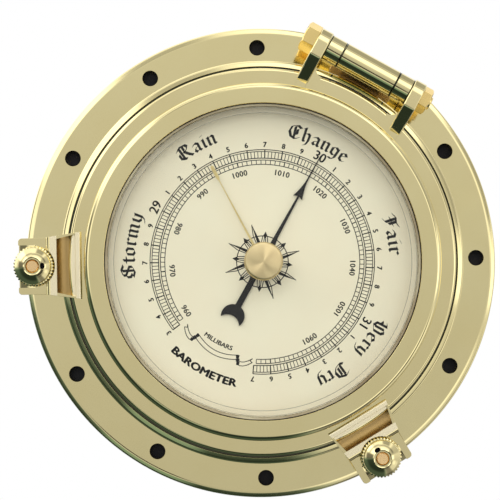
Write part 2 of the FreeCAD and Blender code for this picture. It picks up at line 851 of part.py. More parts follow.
def rocking_shaft():
    """Cross shaft between the standards, with the crank that the link works and the chain's arm."""
    body = new_body("rocking_shaft")
    axis = ("rocker_x", "rocker_depth")
    pin = ("rocker_x + rocker_crank", "rocker_depth")
    pad(body, circles(body, "XZ_Plane", [axis + ("0.8",)], raised("-11.2")), "15.4")
    pad(body, circles(body, "XZ_Plane", [axis + ("0.4",)], raised("-12.4")), "17.8")
    crank = [
        ("rocker_x", "rocker_depth - 0.6"),
        ("rocker_x + rocker_crank", "rocker_depth - 0.5"),
        ("rocker_x + rocker_crank", "rocker_depth + 0.5"),
        ("rocker_x", "rocker_depth + 0.6"),
    ]
    pad(body, outline(body, "XZ_Plane", crank, {1: "0.5"}, raised("-lever_y - 1.6")), "1")
    pad(body, circles(body, "XZ_Plane", [pin + ("0.35",)], raised("-lever_y - 1.6")), "2.2")
    arm = [
        ("rocker_x - 0.6", "rocker_depth"),
        ("rocker_x + 0.6", "rocker_depth"),
        ("rocker_x + 0.4", "rocker_depth + rocker_arm"),
        ("rocker_x - 0.4", "rocker_depth + rocker_arm"),
    ]
    pad(body, outline(body, "XZ_Plane", arm, {2: "0.4"}, raised("-1.5")), "1")


def hairspring_stud():
    body = new_body("hairspring_stud")
    sketch = circles(body, "XY_Plane", [("0", "-hairspring_outer - 0.6", "0.6")], raised("collet_back"))
    pad(body, sketch, "bridge_back - collet_back")


def spiral_shape(inner, outer, thickness, turns, low, height):
    """Flat spiral strip wound outwards, ending straight below the axis."""
    steps = 24 * turns
    last = -math.pi / 2

    def rail(shift):
        points = []
        for i in range(steps + 1):
            part = i / steps
            angle = last - (1 - part) * turns * 2 * math.pi
            radius = inner + (outer - inner) * part + shift
            points.append(Vector(radius * math.cos(angle), radius * math.sin(angle), low))
        curve = Part.BSplineCurve()
        curve.interpolate(points)
        return curve.toShape()

    first = rail(0)
    second = rail(thickness)
    ends = [Part.LineSegment(first.Vertexes[i].Point, second.Vertexes[i].Point).toShape() for i in (0, 1)]
    wire = Part.Wire(Part.__sortEdges__([first, ends[1], second, ends[0]]))
    return Part.Face(wire).extrude(Vector(0, 0, height))


def hairspring():
    spring = doc.addObject("Part::Feature", "hairspring_strip")
    spring.Shape = spiral_shape(1.5, size_of("hairspring_outer") - 0.2, 0.15, 5, size_of("collet_back") + 0.2, 0.6)
    node(spring, "hairspring")


def chain():
    """Fine chain from the pulley to the rocking shaft's arm: plates in two rows, pinned together."""
    across = FreeCAD.Rotation(Vector(1, 0, 0), -90)
    pieces = []
    count = 11
    pitch = "(rocker_x - 0.8) / %d" % count
    for i in range(count):
        row = "pulley_radius + 0.05 + %g" % (0.22 * (i % 2))
        size = {"Length": pitch + " + 0.4", "Width": "0.2", "Height": "0.6"}
        pieces.append(primitive("Box", size, "%d * %s" % (i, pitch), row, "pulley_depth - 0.3"))
    for i in range(1, count):
        x = "%d * %s + 0.2" % (i, pitch)
        pieces.append(primitive("Cylinder", {"Radius": "0.12", "Height": "0.42"}, x,
                                "pulley_radius + 0.05", "pulley_depth", across))
    node(joined(*pieces), "chain")


# ---------------------------------------------------------------- indicator

def arbor():
    body = new_body("arbor")
    half = "0.4"
    lathe(body, [
        ("0", "plate_back"),
        ("0.5", "plate_back"),
        ("0.5", "plate_front + 0.4"),
        ("1.0", "plate_front + 0.4"),
        ("1.0", "pulley_depth - %s - 0.3" % half),
        ("1.5", "pulley_depth - %s - 0.3" % half),
        ("1.5", "pulley_depth - %s" % half),
        ("pulley_radius", "pulley_depth - %s" % half),
        ("pulley_radius", "pulley_depth + %s" % half),
        ("1.5", "pulley_depth + %s" % half),
        ("1.5", "pulley_depth + %s + 0.3" % half),
        ("arbor_radius", "pulley_depth + %s + 0.3" % half),
        ("arbor_radius", "hand_back + 1.5"),
        ("0", "hand_back + 1.5"),
    ])


def hairspring_collet():
    body = new_body("hairspring_collet")
    lathe(body, [("1.0", "collet_back"), ("1.45", "collet_back"), ("1.45", "collet_front"), ("1.0", "collet_front")])


def indicator_hand():
    """Black hand: needle tip, barbed arrowhead, tapered blade, hub, and a crescent on the tail."""
    body = new_body("indicator_hand")
    base = raised("hand_back")
    pad(body, circles(body, "XY_Plane", [("0", "0", "hub_radius")], raised("hand_back - 0.4")), "1.5")
    blade = [
        ("0.95", "0"),
        ("0.36", "hand_notch"),
        ("hand_barb_half", "hand_barb"),
        ("0.3", "hand_head_front"),
        ("0.14", "hand_tip"),
        ("-0.14", "hand_tip"),
        ("-0.3", "hand_head_front"),
        ("-hand_barb_half", "hand_barb"),
        ("-0.36", "hand_notch"),
        ("-0.95", "0"),
    ]
    pad(body, outline(body, "XY_Plane", blade, {2: "-26", 6: "-26"}, base), "hand_thickness")
    tail = [("-1.0", "0"), ("-1.2", "-hand_tail"), ("1.2", "-hand_tail"), ("1.0", "0")]
    pad(body, outline(body, "XY_Plane", tail, offset=base), "hand_thickness")
    crescent = [
        ("-horn_half", "-horn_distance"),
        ("0", "-crescent_hollow"),
        ("horn_half", "-horn_distance"),
        ("0", "-crescent_top"),
    ]
    radius = "crescent_radius"
    bends = {0: "-" + radius, 1: "-" + radius, 2: radius, 3: radius}
    pad(body, outline(body, "XY_Plane", crescent, bends, base), "hand_thickness")
    cut(body, circles(body, "XY_Plane", [("0", "0", "arbor_radius")]))


# ---------------------------------------------------------------- lever and link

def main_lever():
    body = new_body("main_lever")
    bar = [
        ("spring_bend_x + 5", "lever_y - 1.8"),
        ("rocker_x + rocker_crank + 1.4", "lever_y - 1.0"),
        ("rocker_x + rocker_crank + 1.4", "lever_y + 1.0"),
        ("spring_bend_x + 5", "lever_y + 1.8"),
    ]
    pad(body, outline(body, "XY_Plane", bar, offset=raised("lever_back")), "lever_front - lever_back")
    foot = [
        ("spring_bend_x + 5", "lever_y - 1.8"),
        ("spring_bend_x + 13", "lever_y - 1.8"),
        ("spring_bend_x + 13", "lever_y + 1.8"),
        ("spring_bend_x + 5", "lever_y + 1.8"),
    ]
    spring_front = "spring_bend_depth + spring_bend_radius + spring_thickness / 2"
    pad(body, outline(body, "XY_Plane", foot, offset=raised(spring_front)), "lever_back - (%s)" % spring_front)


def link():
    """Thin rod from the lever's end down to the rocking shaft's crank pin, which its eye goes round."""
    body = new_body("link")
    eye = ("rocker_x + rocker_crank", "rocker_depth")
    sketch = circles(body, "XZ_Plane", [eye + ("1.1",), eye + ("0.75",)], raised("-lever_y"))
    pad(body, sketch, "0.8", symmetric=True)
    rod = circles(body, "XY_Plane", [("rocker_x + rocker_crank", "lever_y", "0.35")], raised("rocker_depth + 0.9"))
    pad(body, rod, "lever_back - rocker_depth - 0.9")


# ---------------------------------------------------------------- door

def ear_outline():
    """Side view of a hinge ear: round about the pin, a flat front, and a slope down to the ring."""
    root = "sqrt(ear_radius^2 - %s^2)"
    heel = "(hinge_height - lug_clear - 2.2)"
    corners = [
        ("door_bore + 2", "door_back"),
        ("lug_clear", "door_back"),
        ("hinge_height - %s" % heel, "hinge_depth - " + root % heel),
        ("hinge_height + ear_radius", "hinge_depth"),
        ("hinge_height", "hinge_depth + ear_radius"),
        ("ear_flat", "hinge_depth + ear_radius"),
        ("ear_toe", "door_front"),
        ("door_bore + 2", "door_front"),
    ]
    return corners, {2: "ear_radius", 3: "ear_radius"}


def ear_root(body, side):
    """Concave corner where an ear's inner face runs into the ring. side is 1 or -1."""
    centre_x = "(ear_inner_face - ear_root_radius)"
    centre_y = "sqrt((door_radius + ear_root_radius)^2 - %s^2)" % centre_x
    share = " * door_radius / (door_radius + ear_root_radius)"
    corners = [
        ("%d * ear_inner_face" % side, centre_y),
        ("%d * %s%s" % (side, centre_x, share), centre_y + share),
        ("%d * %s" % (side, centre_x), "door_bore + 6"),
        ("%d * (ear_inner_face + 1)" % side, "door_bore + 6"),
        ("%d * (ear_inner_face + 1)" % side, centre_y),
    ]
    bend = "-ear_root_radius" if side > 0 else "ear_root_radius"
    pad(body, outline(body, "XY_Plane", corners, {0: bend}, raised("door_back")), "door_front - door_back")


def lug(body, angle):
    """One hollow dog lug: block, slotted tab, scoop, and room for the nut and for the swinging bolt."""
    plan = [
        ("lug_inner", "-lug_inner_half"),
        ("lug_outer", "-lug_outer_half"),
        ("lug_outer", "lug_outer_half"),
        ("lug_inner", "lug_inner_half"),
    ]
    pad(body, outline(body, "XY_Plane", plan, offset=turned("XY_Plane", angle, "tab_back")),
        "lug_front - tab_back")
    tab = [
        ("lug_outer - 1.5", "-lug_outer_half"),
        ("tab_end - tab_corner", "-lug_outer_half"),
        ("tab_end", "-lug_outer_half + tab_corner"),
        ("tab_end", "lug_outer_half - tab_corner"),
        ("tab_end - tab_corner", "lug_outer_half"),
        ("lug_outer - 1.5", "lug_outer_half"),
    ]
    sketch = outline(body, "XY_Plane", tab, {1: "tab_corner", 3: "tab_corner"},
                     turned("XY_Plane", angle, "tab_back"))
    pad(body, sketch, "tab_front - tab_back")
    under = [
        ("door_bore", "tab_back - 1"),
        ("lug_clear", "tab_back - 1"),
        ("lug_clear", "door_back"),
        ("door_bore", "door_back"),
    ]
    cut(body, outline(body, "XZ_Plane", under, offset=turned("XZ_Plane", angle)),
        "2 * lug_inner_half + 2", symmetric=True)
    crest = [
        ("lug_outer - lug_crest_radius", "lug_front"),
        ("lug_outer", "lug_front - lug_crest_radius"),
        ("lug_outer + 1", "lug_front - lug_crest_radius"),
        ("lug_outer + 1", "lug_front + 1"),
        ("lug_outer - lug_crest_radius", "lug_front + 1"),
    ]
    cut(body, outline(body, "XZ_Plane", crest, {0: "-lug_crest_radius"}, turned("XZ_Plane", angle)),
        "2 * lug_inner_half + 2", symmetric=True)
    scoop = [("scoop_centre", "lug_front", "scoop_radius")]
    cut(body, circles(body, "XZ_Plane", scoop, turned("XZ_Plane", angle)), "2 * scoop_half", symmetric=True)
    slot = [
        ("dog_circle", "-slot_half"),
        ("tab_end + 2", "-slot_half"),
        ("tab_end + 2", "slot_half"),
        ("dog_circle", "slot_half"),
    ]
    cut(body, outline(body, "XY_Plane", slot, {3: "slot_half"}, turned("XY_Plane", angle, "tab_back - 1")), "6")
    notch = [("dog_circle", "0", "notch_radius")]
    cut(body, circles(body, "XY_Plane", notch, turned("XY_Plane", angle, "tab_front")), "8")
    reach = "(tab_end + 0.6 - dog_circle)"
    swing = [
        ("dog_circle", "tab_front + 1"),
        ("dog_circle", "pivot_depth + tab_swing_radius"),
        ("tab_end + 0.6", "pivot_depth + sqrt(tab_swing_radius^2 - %s^2)" % reach),
        ("tab_end + 0.6", "tab_front + 1"),
    ]
    sketch = outline(body, "XZ_Plane", swing, {1: "-tab_swing_radius"}, turned("XZ_Plane", angle))
    cut(body, sketch, "2 * tab_swing_half", symmetric=True)


def door_casting():
    body = new_body("door_casting")
    lathe(body, [
        ("door_bore", "door_back"),
        ("door_radius", "door_back"),
        ("door_radius", "door_front - door_edge"),
        ("door_radius - door_edge", "door_front"),
        ("door_bore", "door_front"),
    ], {2: "door_edge"})
    corners, bends = ear_outline()
    for start in ("ear_inner_face", "-ear_inner_face - ear_width"):
        pad(body, outline(body, "YZ_Plane", corners, bends, raised(start)), "ear_width")
    for side in (1, -1):
        ear_root(body, side)
    for angle in DOG_ANGLES.values():
        lug(body, angle)
    pin = [("hinge_height", "hinge_depth", "pin_radius + 0.02")]
    cut(body, circles(body, "YZ_Plane", pin), symmetric=True)


def bezel_ring():
    body = new_body("bezel_ring")
    lathe(body, [
        ("door_bore", "door_front"),
        ("bezel_radius", "door_front"),
        ("bezel_radius", "bezel_front - bezel_round"),
        ("bezel_radius - bezel_round", "bezel_front"),
        ("bezel_opening", "bezel_front"),
        ("lip_radius", "lip_edge"),
        ("lip_radius", "lip_back"),
        ("door_bore", "lip_back"),
    ], {2: "bezel_round"})


def glass():
    body = new_body("glass")
    lathe(body, [
        ("glass_hole", "glass_back"),
        ("glass_radius", "glass_back"),
        ("glass_radius", "glass_land"),
        ("bevel_outer", "glass_land"),
        ("bevel_inner", "glass_front"),
        ("glass_hole", "glass_front"),
    ])


def glass_gasket():
    body = new_body("glass_gasket")
    lathe(body, [
        ("gasket_inner", "glass_land"),
        ("gasket_outer", "glass_land"),
        ("gasket_outer", "lip_back"),
        ("gasket_inner", "lip_back"),
    ])


def glass_retainer():
    body = new_body("glass_retainer")
    lathe(body, [
        ("retainer_inner", "retainer_back"),
        ("retainer_outer", "retainer_back"),
        ("retainer_outer", "glass_back"),
        ("retainer_inner", "glass_back"),
    ])
    slot = [("retainer_inner - 1", "-1"), ("retainer_outer + 1", "-1"), ("retainer_outer + 1", "1"),
            ("retainer_inner - 1", "1")]
    around(body, cut(body, outline(body, "XY_Plane", slot), "retainer_back + 0.7"), 4)


def hinge_pin():
    body = new_body("hinge_pin")
    head_start = "-ear_inner_face - ear_width - hinge_head_length"
    sketch = outline(body, "YZ_Plane", hexagon("hinge_height", "hinge_depth", "hinge_head_flats"),
                     offset=raised(head_start))
    pad(body, sketch, "hinge_head_length")
    rounded(body, "0.4", lambda edge: edge.Curve.TypeId == "Part::GeomLine"
            and abs(edge.CenterOfMass.x - size_of(head_start)) < 0.01)
    shank = circles(body, "YZ_Plane", [("hinge_height", "hinge_depth", "pin_radius")],
                    raised("-ear_inner_face - ear_width"))
    pad(body, shank, "2 * ear_inner_face + 2 * ear_width + hinge_nut_length + 0.9")


def hinge_nut():
    body = new_body("hinge_nut")
    start = "ear_inner_face + ear_width"
    sketch = outline(body, "YZ_Plane", hexagon("hinge_height", "hinge_depth", "hinge_nut_flats"), offset=raised(start))
    pad(body, sketch, "hinge_nut_length")
    rounded(body, "0.4", lambda edge: edge.Curve.TypeId == "Part::GeomLine"
            and abs(edge.CenterOfMass.x - size_of(start + " + hinge_nut_length")) < 0.01)
    cut(body, circles(body, "YZ_Plane", [("hinge_height", "hinge_depth", "pin_radius + 0.02")]), symmetric=True)


def set_hand_bush():
    body = new_body("set_hand_bush")
    lathe(body, [
        ("spindle_radius + running_gap", "21.6"),
        ("glass_hole - 0.05", "21.6"),
        ("glass_hole - 0.05", "glass_front"),
        ("bush_flange_radius", "glass_front"),
        ("bush_flange_radius", "glass_front + 0.9"),
        ("spindle_radius + running_gap", "glass_front + 0.9"),
    ])


def bush_nut():
    body = new_body("bush_nut")
    lathe(body, [
        ("glass_hole", "21.9"),
        ("bush_flange_radius", "21.9"),
        ("bush_flange_radius", "glass_back"),
        ("glass_hole", "glass_back"),
    ])


# ---------------------------------------------------------------- set hand

def set_knob():
    body = new_body("set_knob")
    lathe(body, [
        ("spindle_radius", "knob_back"),
        ("knob_radius - 1.4", "knob_back"),
        ("knob_radius", "knob_back + 1.2"),
        ("knob_radius", "knob_front - 1.4"),
        ("knob_radius - 0.5", "knob_front - 0.9"),
        ("0", "knob_front"),
        ("0", "knob_back + 4"),
        ("spindle_radius", "knob_back + 4"),
    ])


def set_spindle():
    body = new_body("set_spindle")
    lathe(body, [
        ("0", "spindle_back"),
        ("spindle_radius", "spindle_back"),
        ("spindle_radius", "knob_back + 4"),
        ("0", "knob_back + 4"),
    ])


def set_hand():
    """Thin pale pointer with a broader end that lies over the scale."""
    body = new_body("set_hand")
    angle = size_of("set_hand_angle")
    pad(body, circles(body, "XY_Plane", [("0", "0", "hub_radius")], raised("set_hand_back")), "set_hand_thickness")
    blade = [
        ("0", "-0.5"),
        ("set_hand_length - 6.5", "-0.16"),
        ("set_hand_length - 5.2", "-0.62"),
        ("set_hand_length - 0.6", "-0.62"),
        ("set_hand_length", "0"),
        ("set_hand_length - 0.6", "0.62"),
        ("set_hand_length - 5.2", "0.62"),
        ("set_hand_length - 6.5", "0.16"),
        ("0", "0.5"),
    ]
    sketch = outline(body, "XY_Plane", blade, offset=turned("XY_Plane", angle, "set_hand_back"))
    pad(body, sketch, "set_hand_thickness")
    cut(body, circles(body, "XY_Plane", [("0", "0", "spindle_radius")]))


# ---------------------------------------------------------------- dogs

def swing_bolts():
    for side in DOG_ANGLES:
        body = new_body("swing_bolt_" + side, about_dog(side))
        pad(body, circles(body, "XZ_Plane", [("dog_circle", "pivot_depth", "eye_radius")]),
            "2 * eye_half", symmetric=True)
        shank = circles(body, "XY_Plane", [("dog_circle", "0", "bolt_radius")], raised("pivot_depth"))
        pad(body, shank, "bolt_front - pivot_depth")
        rounded(body, "0.55", lambda edge: edge.Closed and edge.CenterOfMass.z > size_of("bolt_front - 0.01"))
        eye = [("dog_circle", "pivot_depth", "pivot_radius + running_gap")]
        cut(body, circles(body, "XZ_Plane", eye), symmetric=True)


def washers():
    for side in DOG_ANGLES:
        body = new_body("washer_" + side, about_dog(side, "dog_circle"))
        bore = "bolt_radius + running_gap"
        lathe(body, [(bore, "washer_back"), ("washer_radius", "washer_back"), ("washer_radius", "washer_front"),
                     (bore, "washer_front")])


def dome_nuts():
    for side in DOG_ANGLES:
        body = new_body("dome_nut_" + side, about_dog(side, "dog_circle"))
        bore = "bolt_radius + running_gap"
        lathe(body, [
            (bore, "nut_back"),
            ("nut_radius - 0.6", "nut_back"),
            ("nut_radius", "nut_back + 0.6"),
            ("nut_radius", "nut_knurl_front - 0.4"),
            ("nut_radius - 0.4", "nut_knurl_front"),
            ("nut_neck_radius", "nut_knurl_front"),
            ("nut_neck_radius", "nut_knurl_front + 0.6"),
            ("nut_dome_side", "nut_knurl_front + 0.6"),
            ("nut_dome_side", "nut_dome_back"),
            ("nut_recess_radius + 0.3", "nut_front"),
            ("nut_recess_radius", "nut_front"),
            ("nut_recess_radius", "nut_recess_back"),
            (bore, "nut_recess_back"),
        ], {8: "nut_dome_radius"})
        tommy = circles(body, "XY_Plane", [("-tommy_place", "0", "tommy_radius")], raised("tommy_back"))
        cut(body, tommy, "nut_front - tommy_back + 1")


PIECES = [
    base_casting, rear_cover, rear_cover_screws, door_seal, dog_brackets, bracket_pins, bracket_screws,
    hinge_block, hinge_block_screws, hinge_collars, dial_plate, dial_screws, dial_pillars, pillar_screws,
    movement_plate, capsule, capsule_foot, capsule_post, mainspring, spring_bridge, spring_bridge_screws,
    adjusting_screw, arbor_bridge, arbor_bridge_posts, arbor_bridge_screws, rocker_standards,
    rocking_shaft, hairspring_stud, hairspring, chain, arbor, hairspring_collet, indicator_hand, main_lever, link,
    door_casting, bezel_ring, glass, glass_gasket, glass_retainer, hinge_pin, hinge_nut, set_hand_bush,
    bush_nut, set_knob, set_spindle, set_hand, swing_bolts, washers, dome_nuts,
]
for piece in PIECES:
    piece()
doc.recompute()

faults = []
for thing in doc.Objects:
    if "Invalid" in thing.State or "Error" in thing.State:
        faults.append("%s (%s)" % (thing.Name, thing.State))
for name, thing in nodes.items():
    if thing.Shape.isNull() or not thing.Shape.isValid() or not thing.Shape.Solids:
        faults.append("%s has no valid shape" % name)
if faults:
    raise RuntimeError("; ".join(faults))

os.makedirs("parts", exist_ok=True)
for name, thing in nodes.items():
    thing.Shape.exportStep(os.path.join("parts", name + ".step"))
print("%d nodes written" % len(nodes))
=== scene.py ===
"""Looks of the wall-mounted aneroid barometer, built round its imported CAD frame."""

from math import atan2, copysign, cos, degrees, hypot, pi, radians, sin, sqrt, tan

import bmesh
import bpy
from mathutils import Matrix, Vector


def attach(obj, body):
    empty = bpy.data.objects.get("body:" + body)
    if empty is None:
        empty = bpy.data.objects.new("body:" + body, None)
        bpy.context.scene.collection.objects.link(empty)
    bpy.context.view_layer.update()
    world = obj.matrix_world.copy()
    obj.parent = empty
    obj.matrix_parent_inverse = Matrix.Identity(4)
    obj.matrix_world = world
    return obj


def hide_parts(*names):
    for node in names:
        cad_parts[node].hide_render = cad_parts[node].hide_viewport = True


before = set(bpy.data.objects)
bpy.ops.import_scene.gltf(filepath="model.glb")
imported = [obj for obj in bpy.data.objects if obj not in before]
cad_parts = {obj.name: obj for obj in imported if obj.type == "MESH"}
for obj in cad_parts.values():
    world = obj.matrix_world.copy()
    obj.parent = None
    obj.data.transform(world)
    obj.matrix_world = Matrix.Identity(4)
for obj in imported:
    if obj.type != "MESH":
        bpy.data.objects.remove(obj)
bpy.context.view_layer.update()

MM = 0.001
ABOUT_X = Matrix.Rotation(radians(90), 4, "X")
# The dial's own view: x right, y up, z out of the wall. FRONT turns it to the part's frame.
FRONT = ABOUT_X
FLANGE_FRONT = 4.0
HOLE_CIRCLE = 82.5
# The hinge pin's axis, with z along the pin; how far up and out it lies, and its bore and sleeve radii.
HINGE_UP = 81.4
HINGE_OUT = 24.0
HINGE = Matrix.Translation(Vector((0, -HINGE_OUT, HINGE_UP)) * MM) @ Matrix.Rotation(radians(90), 4, "Y")
PIN_BORE = 2.55
SLEEVE = 5.04
# The dogs: radius of their bolts' circle, height of their pivots, and where they stand.
DOG_CIRCLE = 84.8
PIVOT_OUT = 10.0
DOG_ANGLES = {"left": 210, "right": 330}
# The hollow of a dog lug: its middle as radius and height, and its own radius.
SCOOP_MIDDLE = (72.65, 25.3)
SCOOP_RADIUS = 3.5
SCOOP_SIDES = (69.15, 76.15)
TURNS = 256


def placed(x, y, base=FRONT):
    """A frame moved across its own face."""
    return base @ Matrix.Translation(Vector((x, y, 0)) * MM)


def dog_frame(side, out=0.0):
    """Frame with x along a dog's radius and z out of the wall, moved out along the radius."""
    return placed(out, 0, FRONT @ Matrix.Rotation(radians(DOG_ANGLES[side]), 4, "Z"))


def at(radius, angle):
    """Point at a radius and an angle in degrees."""
    turn = radians(angle)
    return radius * cos(turn), radius * sin(turn)


def hole_places():
    """Frames of the flange's nine screw holes."""
    return [placed(*at(HOLE_CIRCLE, third + angle)) for third in (0, 120, 240) for angle in (0, 30, 60)]


# ------------------------------------------------------------------ mesh helpers

def added(name, data):
    """New object in the scene."""
    thing = bpy.data.objects.new(name, data)
    bpy.context.scene.collection.objects.link(thing)
    return thing


def finish_mesh(name, bm, matrix, angle=32):
    """Close a bmesh into an object in the part's frame, smooth but for its hard edges."""
    bmesh.ops.remove_doubles(bm, verts=bm.verts, dist=1e-4)
    bmesh.ops.recalc_face_normals(bm, faces=bm.faces)
    mesh = bpy.data.meshes.new(name)
    bm.to_mesh(mesh)
    bm.free()
    mesh.transform(matrix @ Matrix.Scale(MM, 4))
    mark_hard_edges(mesh, angle)
    return added(name, mesh)


def mark_hard_edges(mesh, angle=32):
    """Shade a mesh smooth except over edges sharper than an angle, in degrees."""
    bm = bmesh.new()
    bm.from_mesh(mesh)
    limit = radians(angle)
    for face in bm.faces:
        face.smooth = True
    for edge in bm.edges:
        edge.smooth = len(edge.link_faces) == 2 and edge.calc_face_angle(0.0) < limit
    bm.to_mesh(mesh)
    bm.free()


def weighted(thing):
    """Let the large flat faces keep their own normals beside small rounded edges."""
    modifier = thing.modifiers.new("Weighted", "WEIGHTED_NORMAL")
    modifier.keep_sharp = True
    modifier.weight = 60
    return thing


def round_corners(points, radii, steps=4):
    """Profile with arcs in place of its corners. radii maps a corner's index to a radius."""
    result = []
    count = len(points)
    for i, point in enumerate(points):
        radius = radii.get(i, 0) if isinstance(radii, dict) else radii
        here = Vector(point)
        before = Vector(points[i - 1]) - here
        after = Vector(points[(i + 1) % count]) - here
        if radius <= 0 or before.length < 1e-9 or after.length < 1e-9:
            result.append(tuple(here))
            continue
        angle = before.angle(after)
        if angle > pi - 0.02:
            result.append(tuple(here))
            continue
        reach = min(radius / tan(angle / 2), 0.45 * before.length, 0.45 * after.length)
        radius = reach * tan(angle / 2)
        start = here + before.normalized() * reach
        end = here + after.normalized() * reach
        middle = here + (before.normalized() + after.normalized()).normalized() * radius / sin(angle / 2)
        first = atan2(start.y - middle.y, start.x - middle.x)
        sweep = atan2(end.y - middle.y, end.x - middle.x) - first
        sweep = (sweep + pi) % (2 * pi) - pi
        for k in range(steps + 1):
            turn = first + sweep * k / steps
            result.append((middle.x + radius * cos(turn), middle.y + radius * sin(turn)))
    return result


def arc_points(centre, radius, start, end, steps):
    """Points along an arc, angles in degrees."""
    spots = [at(radius, start + (end - start) * k / steps) for k in range(steps + 1)]
    return [(centre[0] + x, centre[1] + y) for x, y in spots]


def lathe(name, profile, matrix=FRONT, turns=TURNS, ripple=None, hard=32):
    """Turned solid from a closed profile of (radius, height). ripple(radius, height, turn) moves a radius."""
    bm = bmesh.new()
    rings = []
    for radius, height in profile:
        if radius < 1e-6:
            rings.append([bm.verts.new((0, 0, height))])
            continue
        ring = []
        for k in range(turns):
            turn = 2 * pi * k / turns
            r = radius + (ripple(radius, height, turn) if ripple else 0)
            ring.append(bm.verts.new((r * cos(turn), r * sin(turn), height)))
        rings.append(ring)
    for i, low in enumerate(rings):
        high = rings[(i + 1) % len(rings)]
        if len(low) == 1 and len(high) == 1:
            continue
        for k in range(turns):
            n = (k + 1) % turns
            corners = [low[k % len(low)], low[n % len(low)], high[n % len(high)], high[k % len(high)]]
            bm.faces.new(list(dict.fromkeys(corners)))
    return finish_mesh(name, bm, matrix, hard)


def prism(name, outline, low, high, matrix=FRONT, hard=32):
    """Straight solid between two heights over a plane outline."""
    bm = bmesh.new()
    bottom = [bm.verts.new((x, y, low)) for x, y in outline]
    top = [bm.verts.new((x, y, high)) for x, y in outline]
    bm.faces.new(bottom)
    bm.faces.new(top)
    count = len(outline)
    for i in range(count):
        n = (i + 1) % count
        bm.faces.new([bottom[i], bottom[n], top[n], top[i]])
    return finish_mesh(name, bm, matrix, hard)


def applied(thing):
    """Replace an object's mesh with what its modifiers make of it."""
    bpy.context.view_layer.update()
    graph = bpy.context.evaluated_depsgraph_get()
    mesh = bpy.data.meshes.new_from_object(thing.evaluated_get(graph))
    old = thing.data
    thing.modifiers.clear()
    thing.data = mesh
    bpy.data.meshes.remove(old)
    return thing


def combined(target, tools, operation):
    """Cut, join or intersect a solid with others, which are used up."""
    for tool in tools:
        modifier = target.modifiers.new("Cut", "BOOLEAN")
        modifier.operation = operation
        modifier.solver = "EXACT"
        modifier.object = tool
        applied(target)
        bpy.data.objects.remove(tool)
    mark_hard_edges(target.data)
    return target


def bevelled(thing, width, segments=3, angle=35):
    """Round the edges of a solid that are sharper than an angle, in degrees."""
    modifier = thing.modifiers.new("Bevel", "BEVEL")
    modifier.width = width * MM
    modifier.segments = segments
    modifier.limit_method = "ANGLE"
    modifier.angle_limit = radians(angle)
    modifier.use_clamp_overlap = True
    applied(thing)
    mark_hard_edges(thing.data)
    return thing


def merged(name, things):
    """One object out of several meshes that lie in or on each other."""
    bm = bmesh.new()
    for thing in things:
        bm.from_mesh(thing.data)
    mesh = bpy.data.meshes.new(name)
    bm.to_mesh(mesh)
    bm.free()
    for thing in things:
        bpy.data.objects.remove(thing)
    return added(name, mesh)


def installed(thing, body, material, slot, *nodes):
    """Give a new piece its material and its body, and let it stand for CAD nodes."""
    thing.data.materials.clear()
    thing.data.materials.append(material)
    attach(thing, body)
    if nodes:
        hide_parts(*nodes)
    return thing


def refinish(thing, material, inside, matrix=FRONT):
    """Give the faces whose middles pass a test, in millimetres, a second material."""
    thing.data.materials.append(material)
    back = matrix.inverted()
    for face in thing.data.polygons:
        if inside(back @ face.center / MM):
            face.material_index = len(thing.data.materials) - 1


# ------------------------------------------------------------------ materials

class Nodes:
    """Small helper that lays out one material's node tree."""

    def __init__(self, name):
        self.material = bpy.data.materials.new(name)
        self.material.use_nodes = True
        self.tree = self.material.node_tree
        self.shader = self.tree.nodes["Principled BSDF"]
        self.output = self.tree.nodes["Material Output"]
        self.place = self.new("TexCoord").outputs["Object"]

    def new(self, kind, **values):
        """New node with values for its inputs, whose names have underscores for spaces."""
        node = self.tree.nodes.new("ShaderNode" + kind)
        for name, value in values.items():
            node.inputs[name.replace("_", " ")].default_value = value
        return node

    def link(self, source, target):
        self.tree.links.new(source, target)

    def noise(self, scale, detail=3.0, stretch=None, rough=0.55):
        source = self.place
        if stretch is not None:
            mapping = self.new("Mapping", Scale=stretch)
            self.link(source, mapping.inputs["Vector"])
            source = mapping.outputs["Vector"]
        node = self.new("TexNoise", Scale=scale, Detail=detail, Roughness=rough)
        self.link(source, node.inputs["Vector"])
        return node.outputs["Fac"]

    def spread(self, source, low, high, from_low=0.3, from_high=0.7):
        node = self.new("MapRange", From_Min=from_low, From_Max=from_high, To_Min=low, To_Max=high)
        self.link(source, node.inputs["Value"])
        return node.outputs["Result"]

    def blend(self, factor, one, two):
        node = self.new("Mix")
        node.data_type = "RGBA"
        self.link(factor, node.inputs["Factor"])
        for socket, value in ((node.inputs[6], one), (node.inputs[7], two)):
            if isinstance(value, tuple):
                socket.default_value = value + (1.0,)
            else:
                self.link(value, socket)
        return node.outputs[2]

    def bump(self, height, strength, distance, after=None):
        node = self.new("Bump", Strength=strength, Distance=distance)
        self.link(height, node.inputs["Height"])
        if after is not None:
            self.link(after, node.inputs["Normal"])
        return node.outputs["Normal"]


